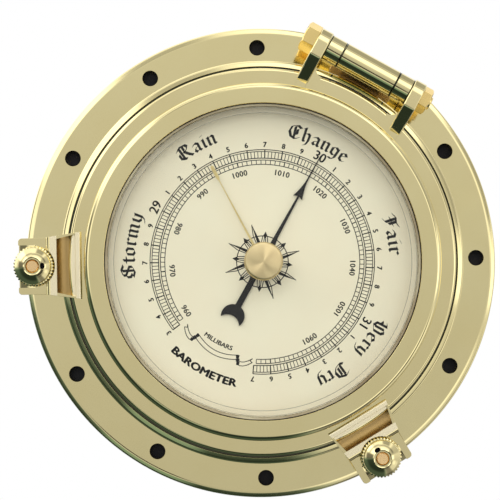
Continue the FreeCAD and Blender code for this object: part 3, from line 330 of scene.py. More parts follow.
def brass(name, colour, dark, roughness=(0.05, 0.11), scratch=0.05, anisotropic=0.0, cast=0.0):
    """Brass with cloudy polish, faint tarnish, and fine scratches."""
    nodes = Nodes(name)
    shader = nodes.shader
    shader.inputs["Metallic"].default_value = 1.0
    clouds = nodes.noise(38, 4)
    tarnish = nodes.noise(130, 6, rough=0.65)
    shade = nodes.blend(nodes.spread(clouds, 0.0, 0.35), colour, dark)
    shade = nodes.blend(nodes.spread(tarnish, 0.0, 0.25, 0.6, 0.8), shade, dark)
    nodes.link(shade, shader.inputs["Base Color"])
    nodes.link(nodes.spread(nodes.noise(95, 5), *roughness), shader.inputs["Roughness"])
    fine = nodes.noise(900, 2, stretch=(1.0, 1.0, 6.0))
    normal = nodes.bump(fine, scratch, 0.00002)
    if cast:
        normal = nodes.bump(nodes.noise(160, 3), cast, 0.0002, normal)
    nodes.link(normal, shader.inputs["Normal"])
    if anisotropic:
        shader.inputs["Anisotropic"].default_value = anisotropic
        tangent = nodes.new("Tangent")
        tangent.direction_type = "RADIAL"
        tangent.axis = "Y"
        nodes.link(tangent.outputs["Tangent"], shader.inputs["Tangent"])
    return nodes.material


def painted(name, colour, other, roughness, bump=0.05, grain=600, specular=0.5):
    """Paint, print or rubber: slight mottling, varied gloss and a fine texture."""
    nodes = Nodes(name)
    shader = nodes.shader
    mottling = nodes.spread(nodes.noise(45, 5), 0.0, 1.0)
    nodes.link(nodes.blend(mottling, colour, other), shader.inputs["Base Color"])
    nodes.link(nodes.spread(nodes.noise(120, 4), *roughness), shader.inputs["Roughness"])
    nodes.link(nodes.bump(nodes.noise(grain, 3), bump, 0.00003), shader.inputs["Normal"])
    shader.inputs["Specular IOR Level"].default_value = specular
    return nodes.material


def clear_glass(name):
    """Plate glass with weak reflections, which lets light for diffuse surfaces straight through."""
    nodes = Nodes(name)
    shader = nodes.shader
    colour = nodes.blend(nodes.noise(25, 2), (0.985, 0.995, 0.985), (0.97, 0.99, 0.975))
    nodes.link(colour, shader.inputs["Base Color"])
    shader.inputs["Transmission Weight"].default_value = 1.0
    shader.inputs["IOR"].default_value = 1.3
    nodes.link(nodes.spread(nodes.noise(60, 4), 0.0, 0.012), shader.inputs["Roughness"])
    path = nodes.new("LightPath")
    either = nodes.new("Math")
    either.operation = "MAXIMUM"
    nodes.link(path.outputs["Is Shadow Ray"], either.inputs[0])
    nodes.link(path.outputs["Is Diffuse Ray"], either.inputs[1])
    through = nodes.new("BsdfTransparent", Color=(0.93, 0.95, 0.93, 1))
    mix = nodes.new("MixShader")
    nodes.link(either.outputs[0], mix.inputs["Fac"])
    nodes.link(shader.outputs["BSDF"], mix.inputs[1])
    nodes.link(through.outputs["BSDF"], mix.inputs[2])
    nodes.link(mix.outputs["Shader"], nodes.output.inputs["Surface"])
    return nodes.material


POLISHED = brass("polished_brass", (0.875, 0.775, 0.425), (0.80, 0.67, 0.32))
CAST_BRASS = brass("cast_brass", (0.87, 0.765, 0.42), (0.79, 0.66, 0.31), cast=0.05)
KNOB_BRASS = brass("spun_brass", (1.0, 0.82, 0.46), (0.96, 0.74, 0.38), (0.38, 0.46), anisotropic=1.0)
GOLD_BRASS = brass("bolt_brass", (0.95, 0.74, 0.30), (0.80, 0.52, 0.18), (0.10, 0.2), 0.1)
INNER_BRASS = brass("inner_brass", (0.80, 0.65, 0.36), (0.66, 0.50, 0.25), (0.24, 0.4), 0.15)
PALE_BRASS = brass("pale_brass", (0.93, 0.85, 0.52), (0.86, 0.74, 0.40), (0.18, 0.3), 0.05)
COPPER = brass("bolt_alloy", (0.93, 0.67, 0.34), (0.82, 0.52, 0.24), (0.24, 0.4), 0.12)
GILT = brass("gilt_hand", (0.86, 0.70, 0.34), (0.76, 0.58, 0.26), (0.45, 0.6), 0.05)
STEEL = brass("spring_steel", (0.44, 0.46, 0.50), (0.30, 0.32, 0.36), (0.2, 0.35), 0.1)
DIAL_FACE = painted("dial_enamel", (0.88, 0.79, 0.615), (0.86, 0.75, 0.575), (0.42, 0.55), 0.03)
INK = painted("printing_ink", (0.010, 0.009, 0.009), (0.018, 0.016, 0.015), (0.5, 0.65), 0.03, specular=0.15)
# Painted shade: flat black laid in the tommy-bar holes, on the gasket's outer lip and on the discs behind the
# flange's holes, where there is only shade.
PAINTED_SHADE_BLACK = painted("black_paint", (0.006, 0.006, 0.008), (0.012, 0.012, 0.014), (0.5, 0.7), 0.08, 900,
                      specular=0.15)
# Painted shade and painted reflection: dark brown brass laid on the hinge's web and foot under the barrel and
# in the dog lugs' hollows.
PAINTED_BROWN_SHADE = brass("painted_brown_shade", (0.48, 0.33, 0.13), (0.27, 0.16, 0.07), (0.28, 0.45), 0.3, cast=0.2)
# Painted shade: near-black brass laid in the collar's seam groove and on the hinge's joint chamfers, where
# shade falls.
PAINTED_SHADE_BRASS = brass("painted_shade_brass", (0.085, 0.085, 0.055), (0.045, 0.05, 0.03), (0.2, 0.35), 0.1)
# Painted highlight: pale cream brass laid on the front of the ridges beside each dog lug's hollow.
PAINTED_HIGHLIGHT_BRASS = brass("painted_highlight_brass", (1.0, 0.90, 0.64), (0.96, 0.83, 0.52), (0.30, 0.4), 0.05)
GASKET = painted("brown_gasket", (0.52, 0.47, 0.31), (0.20, 0.14, 0.07), (0.6, 0.85), 0.4, 1500)
RUBBER = painted("black_rubber", (0.02, 0.02, 0.02), (0.035, 0.034, 0.032), (0.6, 0.8), 0.3, 1200)
GLASS = clear_glass("clear_glass")
# Painted shade: dark grey lines laid on the pane's bevel edges in place of the way the glass bends light
# there.
BEVEL_SHADE_LINE = painted("painted_bevel_shade_line", (0.20, 0.185, 0.13), (0.34, 0.32, 0.24), (0.3, 0.5), 0.1)
FLOOR = painted("studio_floor", (0.80, 0.80, 0.79), (0.78, 0.78, 0.77), (0.7, 0.9), 0.02, 50)


# ------------------------------------------------------------------ case

def base_casting():
    """Flange, collar with its seam and seal groove, and dial ledge, drilled for its screws."""
    profile = round_corners([
        (66.5, 2.6), (72.5, 2.6), (72.5, 0), (90, 0), (90, 3.6), (88.1, FLANGE_FRONT), (75.4, FLANGE_FRONT),
        (75.4, 19.5), (73.1, 20), (73.1, 18.9), (72.2, 18.9), (72.2, 20), (71, 20), (71, 18.4),
        (69, 18.4), (69, 20), (66.5, 20), (66.5, 16), (61, 16), (61, 13.4), (66.5, 13.4),
    ], {2: 0.3, 3: 0.5, 4: 0.9, 5: 4.0, 6: 0.9, 7: 1.3, 8: 0.1, 15: 0.2, 16: 0.3, 18: 0.3}, 8)
    piece = lathe("base_casting_look", profile)
    wall_hole = [(0, -1), (2.8, -1), (2.8, 3.72), (3.5, 4.6), (0, 4.6)]
    tools = [lathe("tool", wall_hole, place, 48) for place in hole_places()]
    seat = [(0, -1), (2.8, -1), (2.8, 2.2), (1.45, 2.2), (1.45, 5), (0, 5)]
    seats = [placed(x, HINGE_UP) for x in (-6, 6)]
    seats += [placed(DOG_CIRCLE, across, dog_frame(side)) for side in DOG_ANGLES for across in (-4.4, 4.4)]
    tools += [lathe("tool", seat, place, 32) for place in seats]
    cover_screw = [(0, 1), (1.25, 1), (1.25, 9), (0, 9)]
    tools += [lathe("tool", cover_screw, placed(*at(69.5, angle)), 24) for angle in (45, 135, 225, 315)]
    combined(piece, [merged("tools", tools)], "DIFFERENCE")
    installed(weighted(piece), "case", POLISHED, "polished_brass", "base_casting")
    # Painted shade in the collar's seam groove.
    refinish(piece, PAINTED_SHADE_BRASS, lambda spot: 72.1 < hypot(spot.x, spot.y) < 73.2 and 18.8 < spot.z < 19.95)


def sleeve(name, low, high):
    """Turned tube round the hinge pin, with its outer edges rounded."""
    profile = [(PIN_BORE, low), (SLEEVE, low), (SLEEVE, high), (PIN_BORE, high)]
    return lathe(name, round_corners(profile, {1: 0.35, 2: 0.35}), HINGE, 128)


def from_pin(spot):
    """Distance of a point from the hinge pin's axis."""
    return hypot(spot.y - HINGE_UP, spot.z - HINGE_OUT)


def hinge_parts():
    """Barrel on its web and foot, two collars, and the hexagon-headed pin with its nut."""
    barrel = sleeve("barrel", -11.2, 11.2)
    web = prism("web", round_corners([(-9, 77.6), (9, 77.6), (9, 85.2), (-9, 85.2)], 1.0), FLANGE_FRONT, 20.6)
    foot_plan = round_corners([(-13, 76.6), (13, 76.6), (13, 86.8), (-13, 86.8)], 1.2)
    foot = bevelled(prism("foot", foot_plan, FLANGE_FRONT, 6.6), 0.5)
    block = merged("hinge_block_look", [barrel, web, foot])
    installed(weighted(block), "case", POLISHED, "polished_brass", "hinge_block")
    off_barrel = 5.3
    # Painted shade and painted reflection: the web and foot under the barrel are dark brown.
    refinish(block, PAINTED_BROWN_SHADE, lambda spot: from_pin(spot) > off_barrel)
    # Painted shade on the barrel's end chamfers, at its joints with the collars.
    refinish(block, PAINTED_SHADE_BRASS, lambda spot: abs(spot.x) > 10.9 and from_pin(spot) < off_barrel)
    collars = [sleeve("collar", low, high) for low, high in ((-17.35, -11.25), (11.25, 17.35))]
    collars = merged("hinge_collars_look", collars)
    installed(weighted(collars), "case", POLISHED, "polished_brass", "hinge_collars")
    # Painted shade on the collars' end chamfers, at their joints.
    refinish(collars, PAINTED_SHADE_BRASS, lambda spot: abs(abs(spot.x) - 14.3) > 2.7)
    head = hexagon_head("head", 10.0, -27.2, -22.12, low_side=True)
    shank = round_corners([(0, -22.6), (2.5, -22.6), (2.5, 26.4), (0, 26.4)], {2: 0.4})
    shank = lathe("shank", shank, HINGE, 96)
    pin = merged("hinge_pin_look", [head, shank])
    installed(weighted(pin), "door", GOLD_BRASS, "polished_brass", "hinge_pin")
    nut = hexagon_head("hinge_nut_look", 9.0, 22.12, 25.6, low_side=False)
    bore = lathe("tool", [(0, 20), (2.52, 20), (2.52, 27), (0, 27)], HINGE, 64)
    combined(nut, [bore], "DIFFERENCE")
    installed(weighted(nut), "door", GOLD_BRASS, "polished_brass", "hinge_nut")


def hexagon_head(name, flats, low, high, low_side):
    """Hexagon with the turned chamfer of a real bolt head on one end or the other."""
    radius = flats / sqrt(3)
    hexagon = prism(name, [at(radius, angle) for angle in range(0, 360, 60)], low, high, HINGE)
    inner = flats / 2 - 0.35
    outer = radius + 0.3
    depth = 0.8
    skin = 0.001
    start, end = (low - skin, high + 1) if low_side else (low - 1, high + skin)
    if low_side:
        turned = [(0, start), (inner, start), (outer, low + depth), (outer, end), (0, end)]
    else:
        turned = [(0, start), (outer, start), (outer, high - depth), (inner, end), (0, end)]
    combined(hexagon, [lathe("tool", turned, HINGE, 96)], "INTERSECT")
    return bevelled(hexagon, 0.12, 2, 40)


def dogs():
    """Each dog's bracket, swing bolt, washer and nut."""
    for side in DOG_ANGLES:
        place = dog_frame(side)
        across = place @ Matrix.Translation(Vector((DOG_CIRCLE, 0, PIVOT_OUT)) * MM) @ ABOUT_X
        # Bracket: two rounded cheeks on a foot.
        cheek_side = [(-4.2, -6.0), (4.2, -6.0)] + arc_points((0, 0), 4.2, 0, 180, 28)
        cheeks = []
        for low, high in ((-6.2, -2.8), (2.8, 6.2)):
            cheek = prism("cheek", cheek_side, low, high, across)
            cheeks.append(bevelled(cheek, 0.35, 3, 60))
        foot_plan = round_corners([(80.6, -8.6), (89, -8.6), (89, 8.6), (80.6, 8.6)], 1.5)
        cheeks.append(bevelled(prism("foot", foot_plan, FLANGE_FRONT, 5.8, place), 0.4, 3, 60))
        bracket = merged("dog_bracket_look_" + side, cheeks)
        installed(weighted(bracket), "case", POLISHED, "polished_brass", "dog_bracket_" + side)
        # Swing bolt: eye, neck and threaded shank.
        eye = round_corners([(1.55, -2.6), (3.8, -2.6), (3.8, 2.6), (1.55, 2.6)], 0.3)
        eye = lathe("eye", eye, across, 64)
        shank = threaded_shank("shank", 2.5, 12.5, 28.8, 0.8, dog_frame(side, DOG_CIRCLE))
        bolt = merged("swing_bolt_look_" + side, [eye, shank])
        installed(bolt, "dog_" + side, COPPER, "copper_alloy", "swing_bolt_" + side)
        # Washer.
        ring = round_corners([(2.55, 20.02), (6.4, 20.02), (6.4, 21.0), (2.55, 21.0)], {1: 0.15, 2: 0.3})
        washer = lathe("washer_look_" + side, ring, dog_frame(side, DOG_CIRCLE), 96)
        installed(weighted(washer), "loose_washer_" + side, POLISHED, "polished_brass", "washer_" + side)
        dome_nut(side)


def threaded_shank(name, radius, low, high, pitch, matrix):
    """Round shank with a helical thread for most of its length."""
    bm = bmesh.new()
    turns = 40
    rows = int((high - low) / pitch * 8)
    depth = 0.28
    thread_start = 15.5
    chamfer = 0.55
    grid = []
    for j in range(rows + 1):
        z = low + (high - low) * j / rows
        ring = []
        for k in range(turns):
            turn = 2 * pi * k / turns
            wave = abs(((z / pitch - k / turns) % 1.0) * 2 - 1)
            start = min(max((z - thread_start) / 1.2, 0), 1)
            end = min(max((high - z) / chamfer, 0), 1)
            r = radius - depth * (1 - wave) * start * end - (1 - end) * chamfer
            ring.append(bm.verts.new((r * cos(turn), r * sin(turn), z)))
        grid.append(ring)
    for j in range(rows):
        for k in range(turns):
            n = (k + 1) % turns
            bm.faces.new([grid[j][k], grid[j][n], grid[j + 1][n], grid[j + 1][k]])
    bm.faces.new(grid[0])
    bm.faces.new(grid[-1])
    return finish_mesh(name, bm, matrix, 40)


def dome_nut(side):
    """Domed finger nut: scalloped collar, neck, dome, end recess and tommy-bar hole."""
    profile = [(2.55, 21.02), (7.0, 21.02), (7.45, 21.25)]
    profile += [(7.6, 21.5 + 0.25 * k) for k in range(9)]
    profile += [(7.45, 23.78), (7.0, 24.0), (6.35, 24.05), (6.2, 24.2), (6.2, 24.45), (6.35, 24.6),
                (6.65, 24.66), (6.75, 24.85), (6.75, 26.3)]
    profile += arc_points((-0.106, 20.669), 9.0, 41.5, 66.5, 14)
    profile += [(3.3, 28.98), (3.0, 28.85), (3.0, 28.5), (2.55, 28.5)]

    def knurl(radius, height, turn):
        if radius < 7.4 or not 21.4 < height < 23.9:
            return 0
        return -0.42 * (0.5 - 0.5 * cos(36 * turn)) ** 1.5

    nut = lathe("dome_nut_look_" + side, profile, dog_frame(side, DOG_CIRCLE), 360, knurl, 38)
    tommy = dog_frame(side, DOG_CIRCLE - 3.7)
    wide, tall = 0.95, 1.3
    oval = tommy @ Matrix.Diagonal((wide, tall, 1, 1))
    hole = lathe("tool", [(0, 26.2), (0.9, 26.2), (0.9, 30), (0, 30)], oval, 32)
    combined(nut, [hole], "DIFFERENCE")
    installed(weighted(nut), "finger_nut_" + side, POLISHED, "polished_brass", "dome_nut_" + side)
    # Painted shade: the tommy-bar hole's walls are black.
    refinish(nut, PAINTED_SHADE_BLACK, lambda spot: hypot(spot.x / wide, spot.y / tall) < 0.93
             and 26 < spot.z < 28.5, tommy)


# ------------------------------------------------------------------ door

def ear_side():
    """Side view of a hinge ear as (up, out): round about the pin, flat in front, sloping to the ring."""
    angle_low = degrees(atan2(19.39 - HINGE_OUT, 78.4 - HINGE_UP))
    points = [(64.9, 20.9), (76.2, 20.3)]
    points += arc_points((HINGE_UP, HINGE_OUT), 5.5, angle_low, 90, 44)
    points += round_corners([(70.7, 26.75), (81.4, 29.5), (75.8, 29.5), (65.6, 24.0)], {2: 2.2}, 6)[2:]
    points += [(64.9, 23.0)]
    return points


def ear_root(sign):
    """Concave corner in plan between an ear's inner face and the ring."""
    across, up, radius = 14.4, 73.605, 3
    points = [(sign * x, y) for x, y in arc_points((across, up), radius, 0, -101, 16)]
    points += [(sign * 14.2, 67.4), (sign * 18.4, 67.4), (sign * 18.4, up)]
    return prism("root", points, 20.32, 23.98)


def scored_across(thing, place, along):
    """Divide a solid's faces at one distance along x, so that each side can have its own finish."""
    bm = bmesh.new()
    bm.from_mesh(thing.data)
    middle = place @ (Vector((along, 0, 0)) * MM)
    normal = place.to_3x3() @ Vector((1, 0, 0))
    bmesh.ops.bisect_plane(bm, geom=bm.verts[:] + bm.edges[:] + bm.faces[:], dist=1e-7,
                           plane_co=middle, plane_no=normal)
    bm.to_mesh(thing.data)
    bm.free()


def lug_solid(side):
    """Hollow dog lug: wedge block and tab, with scoop, slot, notch and the curve the bolt swings over."""
    place = dog_frame(side)
    along = place @ ABOUT_X
    side_view = [(67, 20.6), (76.2, 20.6), (76.2, 16), (90.9, 16), (90.9, 20), (80.2, 20)]
    side_view += arc_points((78.6, 23.6), 1.6, 0, 90, 8) + arc_points((68.0, 24.2), 1.0, 90, 180, 6)
    lug = prism("lug", side_view, -13, 13, along)
    for edge in SCOOP_SIDES:
        scored_across(lug, place, edge)
    plan = [(67, -12.45), (80.2, -10.5), (90.9, -10.5), (90.9, 10.5), (80.2, 10.5), (67, 12.45)]
    plan = round_corners(plan, {2: 1.3, 3: 1.3}, 6)
    combined(lug, [prism("tool", plan, 10, 30, place)], "INTERSECT")
    bevelled(lug, 0.75, 4, 50)
    trough = arc_points(SCOOP_MIDDLE, SCOOP_RADIUS, 180, 360, 40)
    trough += [(SCOOP_SIDES[1], 27), (SCOOP_SIDES[0], 27)]
    scoop = prism("tool", trough, -13, 13, along)
    ends = round_corners([(68, -11.8), (76.6, -9.8), (76.6, 9.8), (68, 11.8)], {1: 1.0, 2: 1.0})
    combined(scoop, [prism("tool", ends, 18, 30, place)], "INTERSECT")
    slot = arc_points((DOG_CIRCLE, 0), 2.9, 90, 270, 24) + [(93, -2.9), (93, 2.9)]
    slot = prism("tool", slot, 14, 22, place)
    notch = lathe("tool", [(0, 20), (8.0, 20), (8.0, 27), (0, 27)], dog_frame(side, DOG_CIRCLE), 96)
    swing = [(DOG_CIRCLE + 0.8 * k, PIVOT_OUT + sqrt(9.8 ** 2 - (0.8 * k) ** 2)) for k in range(10)]
    swing = prism("tool", [(84.4, 20.0)] + swing + [(92, 21.5), (84.4, 21.5)], -7.9, 7.9, along)
    combined(lug, [scoop, slot, notch, swing], "DIFFERENCE")
    return bevelled(lug, 0.3, 3, 40)


def in_scoop(spot):
    """Whether a point of a lug lies on the wall of its hollow."""
    from_middle = hypot(spot.x - SCOOP_MIDDLE[0], spot.z - SCOOP_MIDDLE[1])
    return abs(spot.y) < 12 and 21.5 < spot.z < 25 and abs(from_middle - SCOOP_RADIUS) < 0.25


def on_ridge(spot):
    """Whether a point of a lug lies on the front of a ridge beside its hollow."""
    return (67.2 < spot.x < 70.6 or 76.0 < spot.x < 78.4) and abs(spot.y) < 11.6 and spot.z > 23.3


def door_casting():
    """Flat ring joined with its two hinge ears and its two dog lugs."""
    profile = [(61.6, 20.3), (72, 20.3), (72, 24), (61.6, 24)]
    ring = lathe("door_casting_look", round_corners(profile, {0: 0.2, 1: 0.3, 2: 1.1}, 6))
    parts = []
    sideways = Matrix(((0, 0, 1, 0), (0, -1, 0, 0), (1, 0, 0, 0), (0, 0, 0, 1)))
    for low in (-22.1, 17.4):
        ear = prism("ear", ear_side(), low, low + 4.7, sideways)
        parts.append(bevelled(ear, 0.5, 4, 45))
        parts.append(ear_root(copysign(1, low)))
    for side in DOG_ANGLES:
        parts.append(lug_solid(side))
    combined(ring, parts, "UNION")
    bore = lathe("tool", [(0, -30), (2.52, -30), (2.52, 30), (0, 30)], HINGE, 64)
    combined(ring, [bore], "DIFFERENCE")
    installed(weighted(ring), "door", CAST_BRASS, "polished_brass", "door_casting")
    for side in DOG_ANGLES:
        place = dog_frame(side)
        # Painted shade and painted reflection: the hollow's wall is dark brown.
        refinish(ring, PAINTED_BROWN_SHADE, lambda spot: in_scoop(spot) and 70.4 < spot.x < 76.2, place)
        # Painted highlight on the ridges beside the hollow.
        refinish(ring, PAINTED_HIGHLIGHT_BRASS, on_ridge, place)


def glazing():
    """Bezel ring, bevelled pane with thin dark rings of painted shade along its bevel's edges, gasket, and
    the bush in the pane's middle.
    """
    bezel_profile = round_corners([
        (61.6, 24), (66.1, 24), (66.1, 28.5), (58.65, 28.5), (58.5, 28.3), (58.5, 27.2), (61.6, 27.2),
    ], {1: 0.15, 2: 2.7, 3: 0.1}, 12)
    bezel = lathe("bezel_ring_look", bezel_profile, turns=320)
    installed(weighted(bezel), "door", POLISHED, "polished_brass", "bezel_ring")

    pane = lathe("glass_look", [
        (2.4, 23.4), (61.2, 23.4), (61.2, 26.4), (57.3, 26.4), (55.1, 27.0), (2.4, 27.0),
    ], turns=320, hard=5)
    installed(pane, "door", GLASS, "clear_glass", "glass")

    def uneven(radius, height, turn):
        return 0.12 * sin(120 * turn) + 0.06 * sin(61 * turn + 1) if radius < 57.5 else 0

    packing = lathe("glass_gasket_look", [
        (57.35, 26.42), (61.3, 26.42), (61.3, 27.18), (58.46, 27.18), (58.46, 28.0), (58.22, 28.0),
        (58.22, 27.45), (57.5, 27.3),
    ], turns=640, ripple=uneven)
    installed(packing, "door", GASKET, "brown_gasket", "glass_gasket")
    # Painted shade: the gasket's outer lip beside the bezel is black.
    refinish(packing, PAINTED_SHADE_BLACK, lambda spot: hypot(spot.x, spot.y) > 58.2)

    # Painted shade: two thin dark rings on the bevel's edges.
    edges = []
    for radius, drop in ((54.9, 0), (56.9, 0.5)):
        low, high, outer = 26.98 - drop, 27.03 - drop, radius + 0.2
        edges.append(lathe("edge", [(radius, low), (outer, low), (outer, high), (radius, high)], turns=320))
    installed(merged("glass_bevel_shade_lines", edges), "door", BEVEL_SHADE_LINE, "clear_glass")

    bush = lathe("set_hand_bush_look", round_corners([
        (1.05, 21.6), (2.35, 21.6), (2.35, 27.0), (4.2, 27.0), (4.2, 27.9), (1.05, 27.9),
    ], {4: 0.3}), turns=96)
    installed(weighted(bush), "door", POLISHED, "polished_brass", "set_hand_bush")


def set_knob():
    """Turned knob with a finely knurled edge."""
    rise = [(7.1, 29.3 + 0.3 * k) for k in range(18)]
    profile = [(1.0, 28.1), (5.6, 28.1), (6.5, 28.5), (7.0, 29.0)] + rise
    profile += [(7.0, 34.75), (6.7, 35.15), (6.4, 35.3), (6.1, 35.36), (0, 36.2), (0, 32.1), (1.0, 32.1)]

    def knurl(radius, height, turn):
        if radius < 7.05:
            return 0
        return -0.14 * (0.5 - 0.5 * cos(84 * turn))

    knob = lathe("set_knob_look", profile, turns=672, ripple=knurl, hard=24)
    installed(knob, "set_pointer", KNOB_BRASS, "polished_brass", "set_knob")


# ------------------------------------------------------------------ dial

DIAL = 17.0
PRINT = 0.03


def plate(bm, points, low=DIAL - 0.01, high=DIAL + PRINT):
    """Add one thin printed shape, given as a closed outline, to a bmesh."""
    bottom = [bm.verts.new((x, y, low)) for x, y in points]
    top = [bm.verts.new((x, y, high)) for x, y in points]
    bm.faces.new(top)
    bm.faces.new(bottom[::-1])
    count = len(points)
    for i in range(count):
        n = (i + 1) % count
        bm.faces.new([bottom[i], bottom[n], top[n], top[i]])


def arc_band(bm, inner, outer, start, end):
    """Thin printed arc between two angles, in short flat lengths that share their ends."""
    steps = max(2, int(abs(end - start) / 1.2))
    inside, outside = (arc_points((0, 0), radius, start, end, steps) for radius in (inner, outer))
    for k in range(steps):
        plate(bm, [inside[k], inside[k + 1], outside[k + 1], outside[k]])


def bar(bm, start, end, width):
    """Thin printed line between two points."""
    start, end = Vector(start), Vector(end)
    along = end - start
    side = Vector((-along.y, along.x)).normalized() * width / 2
    plate(bm, [start - side, end - side, end + side, start + side])


def inches(value):
    """Angle of a pressure in inches of mercury; 30 is at the top."""
    return 90 - (value - 30) * 91.8


def millibars(value):
    """Angle of a pressure in millibars."""
    return inches(value / 33.8639)


def scale_rings(bm):
    """Two scales back to back: inches of mercury outside, millibars inside."""
    long_tick, short_tick, inch_foot = 42.06, 41.35, 38.87
    millibar_top, millibar_foot = 38.16, 36.54
    low, high = inches(28.3), inches(31.7)
    for radius, width in ((long_tick, 0.32), (short_tick, 0.28), (inch_foot, 0.34)):
        arc_band(bm, radius - width / 2, radius + width / 2, low, high)
    first, last = millibars(959), millibars(1073)
    for radius, width in ((millibar_top, 0.30), (millibar_foot, 0.30)):
        arc_band(bm, radius - width / 2, radius + width / 2, first, last)
    for k in range(171):
        angle = inches(28.3 + 0.02 * k)
        tenth = k % 5 == 0
        width = 0.42 if tenth else 0.26
        bar(bm, at(inch_foot, angle), at(long_tick if tenth else short_tick, angle), width)
    for value in range(959, 1074):
        angle = millibars(value)
        width = 0.4 if value % 10 == 0 else 0.27
        bar(bm, at(millibar_foot, angle), at(millibar_top, angle), width)


def rose(bm):
    """Wind rose: eight long split spikes, eight short ones, and a circle."""
    arc_band(bm, 9.5, 9.86, 0, 360)
    for k in range(8):
        angle = 45 * k
        tip = at(14.4, angle)
        plate(bm, [at(6.4, angle - 1), at(6.4, angle - 13), at(10.4, angle - 4.4), tip,
                   at(10.4, angle - 0.3)])
        bar(bm, at(10.2, angle + 3.4), tip, 0.32)
        bar(bm, at(7.0, angle + 1.5), at(10.2, angle + 3.4), 0.32)
        angle += 22.5
        plate(bm, [at(11.4, angle), at(9.8, angle + 4.8), at(8.9, angle), at(9.8, angle - 4.8)])
        for foot, head in ((11, 5.5), (3.2, 1.4), (-3.2, -1.4), (-11, -5.5)):
            bar(bm, at(6.5, angle + foot), at(9.6, angle + head), 0.32)


def chain_of_bars(bm, points, width):
    """Thin printed line through several points."""
    for start, end in zip(points, points[1:]):
        bar(bm, start, end, width)


def ribbon(bm):
    """Blank folded ribbon that sags between the ends of the scale."""
    pen = 0.3
    middle = [(36.9 + 1.5 * sin(pi * k / 16), 257 + 27.5 * k / 16) for k in range(17)]
    for half in (-0.85, 0.85):
        chain_of_bars(bm, [at(radius + half, angle) for radius, angle in middle], pen)
    for sign in (-1, 1):
        tail = [(38.6, 256.9), (39.1, 255.2), (38.9, 253.2), (38.2, 250.9), (37.2, 248.6)]
        tail = [(radius, angle if sign < 0 else 541.6 - angle) for radius, angle in tail]
        for half in (-0.75, 0.75):
            chain_of_bars(bm, [at(radius + half, angle) for radius, angle in tail], pen)
        tip = tail[-1]
        notch = at(tip[0] + 0.1, tip[1] - sign * 1.4)
        chain_of_bars(bm, [at(tip[0] - 0.75, tip[1]), notch, at(tip[0] + 0.75, tip[1])], pen)
        fold = tail[0][1]
        folds = ((36.0, 37.4, -0.4, 1.9), (37.3, 38.7, -0.9, 1.3), (38.5, 39.8, -1.3, 0.5))
        for low, high, near, far in folds:
            plate(bm, [at(low, fold - sign * near), at(low + 0.2, fold - sign * far),
                       at(high, fold - sign * far * 0.6), at(high, fold - sign * near)])


MINIM = [(-10, 88), (0, 97), (0, 10), (12, 0)]


def moved(path, dx):
    """A pen stroke shifted sideways."""
    return [(x + dx, y) for x, y in path]


# Pen strokes of an old-style weather dial's words. The x-height is 100; the last number is the width.
LETTERS = {
    "a": ([[(10, 76), (32, 97), (54, 80), (54, 12), (66, 0)],
           [(50, 56), (24, 44), (14, 22), (28, 2), (52, 20)]], 80),
    "i": ([moved(MINIM, 20), [(14, 132), (26, 142)]], 46),
    "n": ([moved(MINIM, 18), [(22, 80), (46, 98), (60, 86), (60, 10), (72, 0)]], 88),
    "m": ([moved(MINIM, 18), [(22, 80), (44, 98), (58, 86), (58, 10), (68, 0)],
           [(60, 80), (84, 98), (98, 86), (98, 10), (110, 0)]], 126),
    "h": ([[(8, 142), (20, 150), (20, 10), (32, 0)],
           [(22, 80), (46, 98), (62, 84), (62, 15), (50, -28), (34, -42)]], 88),
    "r": ([moved(MINIM, 18), [(22, 80), (42, 98), (56, 84)]], 62),
    "t": ([[(22, 125), (22, 12), (36, 0), (48, 10)], [(2, 92), (48, 92)]], 56),
    "o": ([[(14, 82), (14, 18), (36, 0), (58, 18), (58, 82), (36, 100), (14, 82)]], 80),
    "y": ([[(6, 88), (18, 97), (18, 25), (38, 3), (60, 20)],
           [(50, 88), (60, 97), (60, 0), (44, -32), (16, -42)]], 82),
    "g": ([[(58, 82), (36, 100), (14, 82), (14, 22), (36, 5), (58, 20)],
           [(60, 95), (60, -10), (42, -42), (12, -36)]], 82),
    "e": ([[(60, 16), (38, 0), (16, 20), (16, 80), (38, 100), (58, 76), (20, 46)]], 74),
    "S": ([[(98, 128), (60, 152), (24, 132), (24, 100), (88, 62), (88, 28), (50, 0), (8, 20)],
           [(58, 140), (58, 10)], [(8, 90), (8, 50), (30, 30)]], 116),
    "R": ([[(28, 140), (28, 12), (44, 0)], [(2, 120), (30, 150), (80, 142), (92, 116), (72, 84), (40, 80)],
           [(52, 80), (78, 30), (104, 0)], [(56, 140), (56, 90)], [(4, 80), (4, 30), (28, 10)]], 120),
    "C": ([[(100, 126), (72, 152), (30, 134), (14, 76), (30, 20), (66, 0), (100, 22)],
           [(56, 136), (56, 14)], [(76, 110), (76, 50)]], 116),
    "F": ([[(4, 120), (30, 146), (66, 132), (100, 150)], [(42, 134), (42, 22), (14, 0)],
           [(20, 80), (84, 90)], [(64, 130), (64, 50)]], 104),
    "V": ([[(8, 130), (30, 152), (30, 30), (62, 0), (100, 30), (100, 120), (80, 150)],
           [(62, 134), (62, 20)], [(6, 90), (30, 70)]], 124),
    "D": ([[(6, 126), (36, 152), (92, 122), (102, 62), (78, 16), (36, 0), (8, 20)],
           [(40, 136), (40, 12)], [(66, 120), (66, 30)]], 120),
}


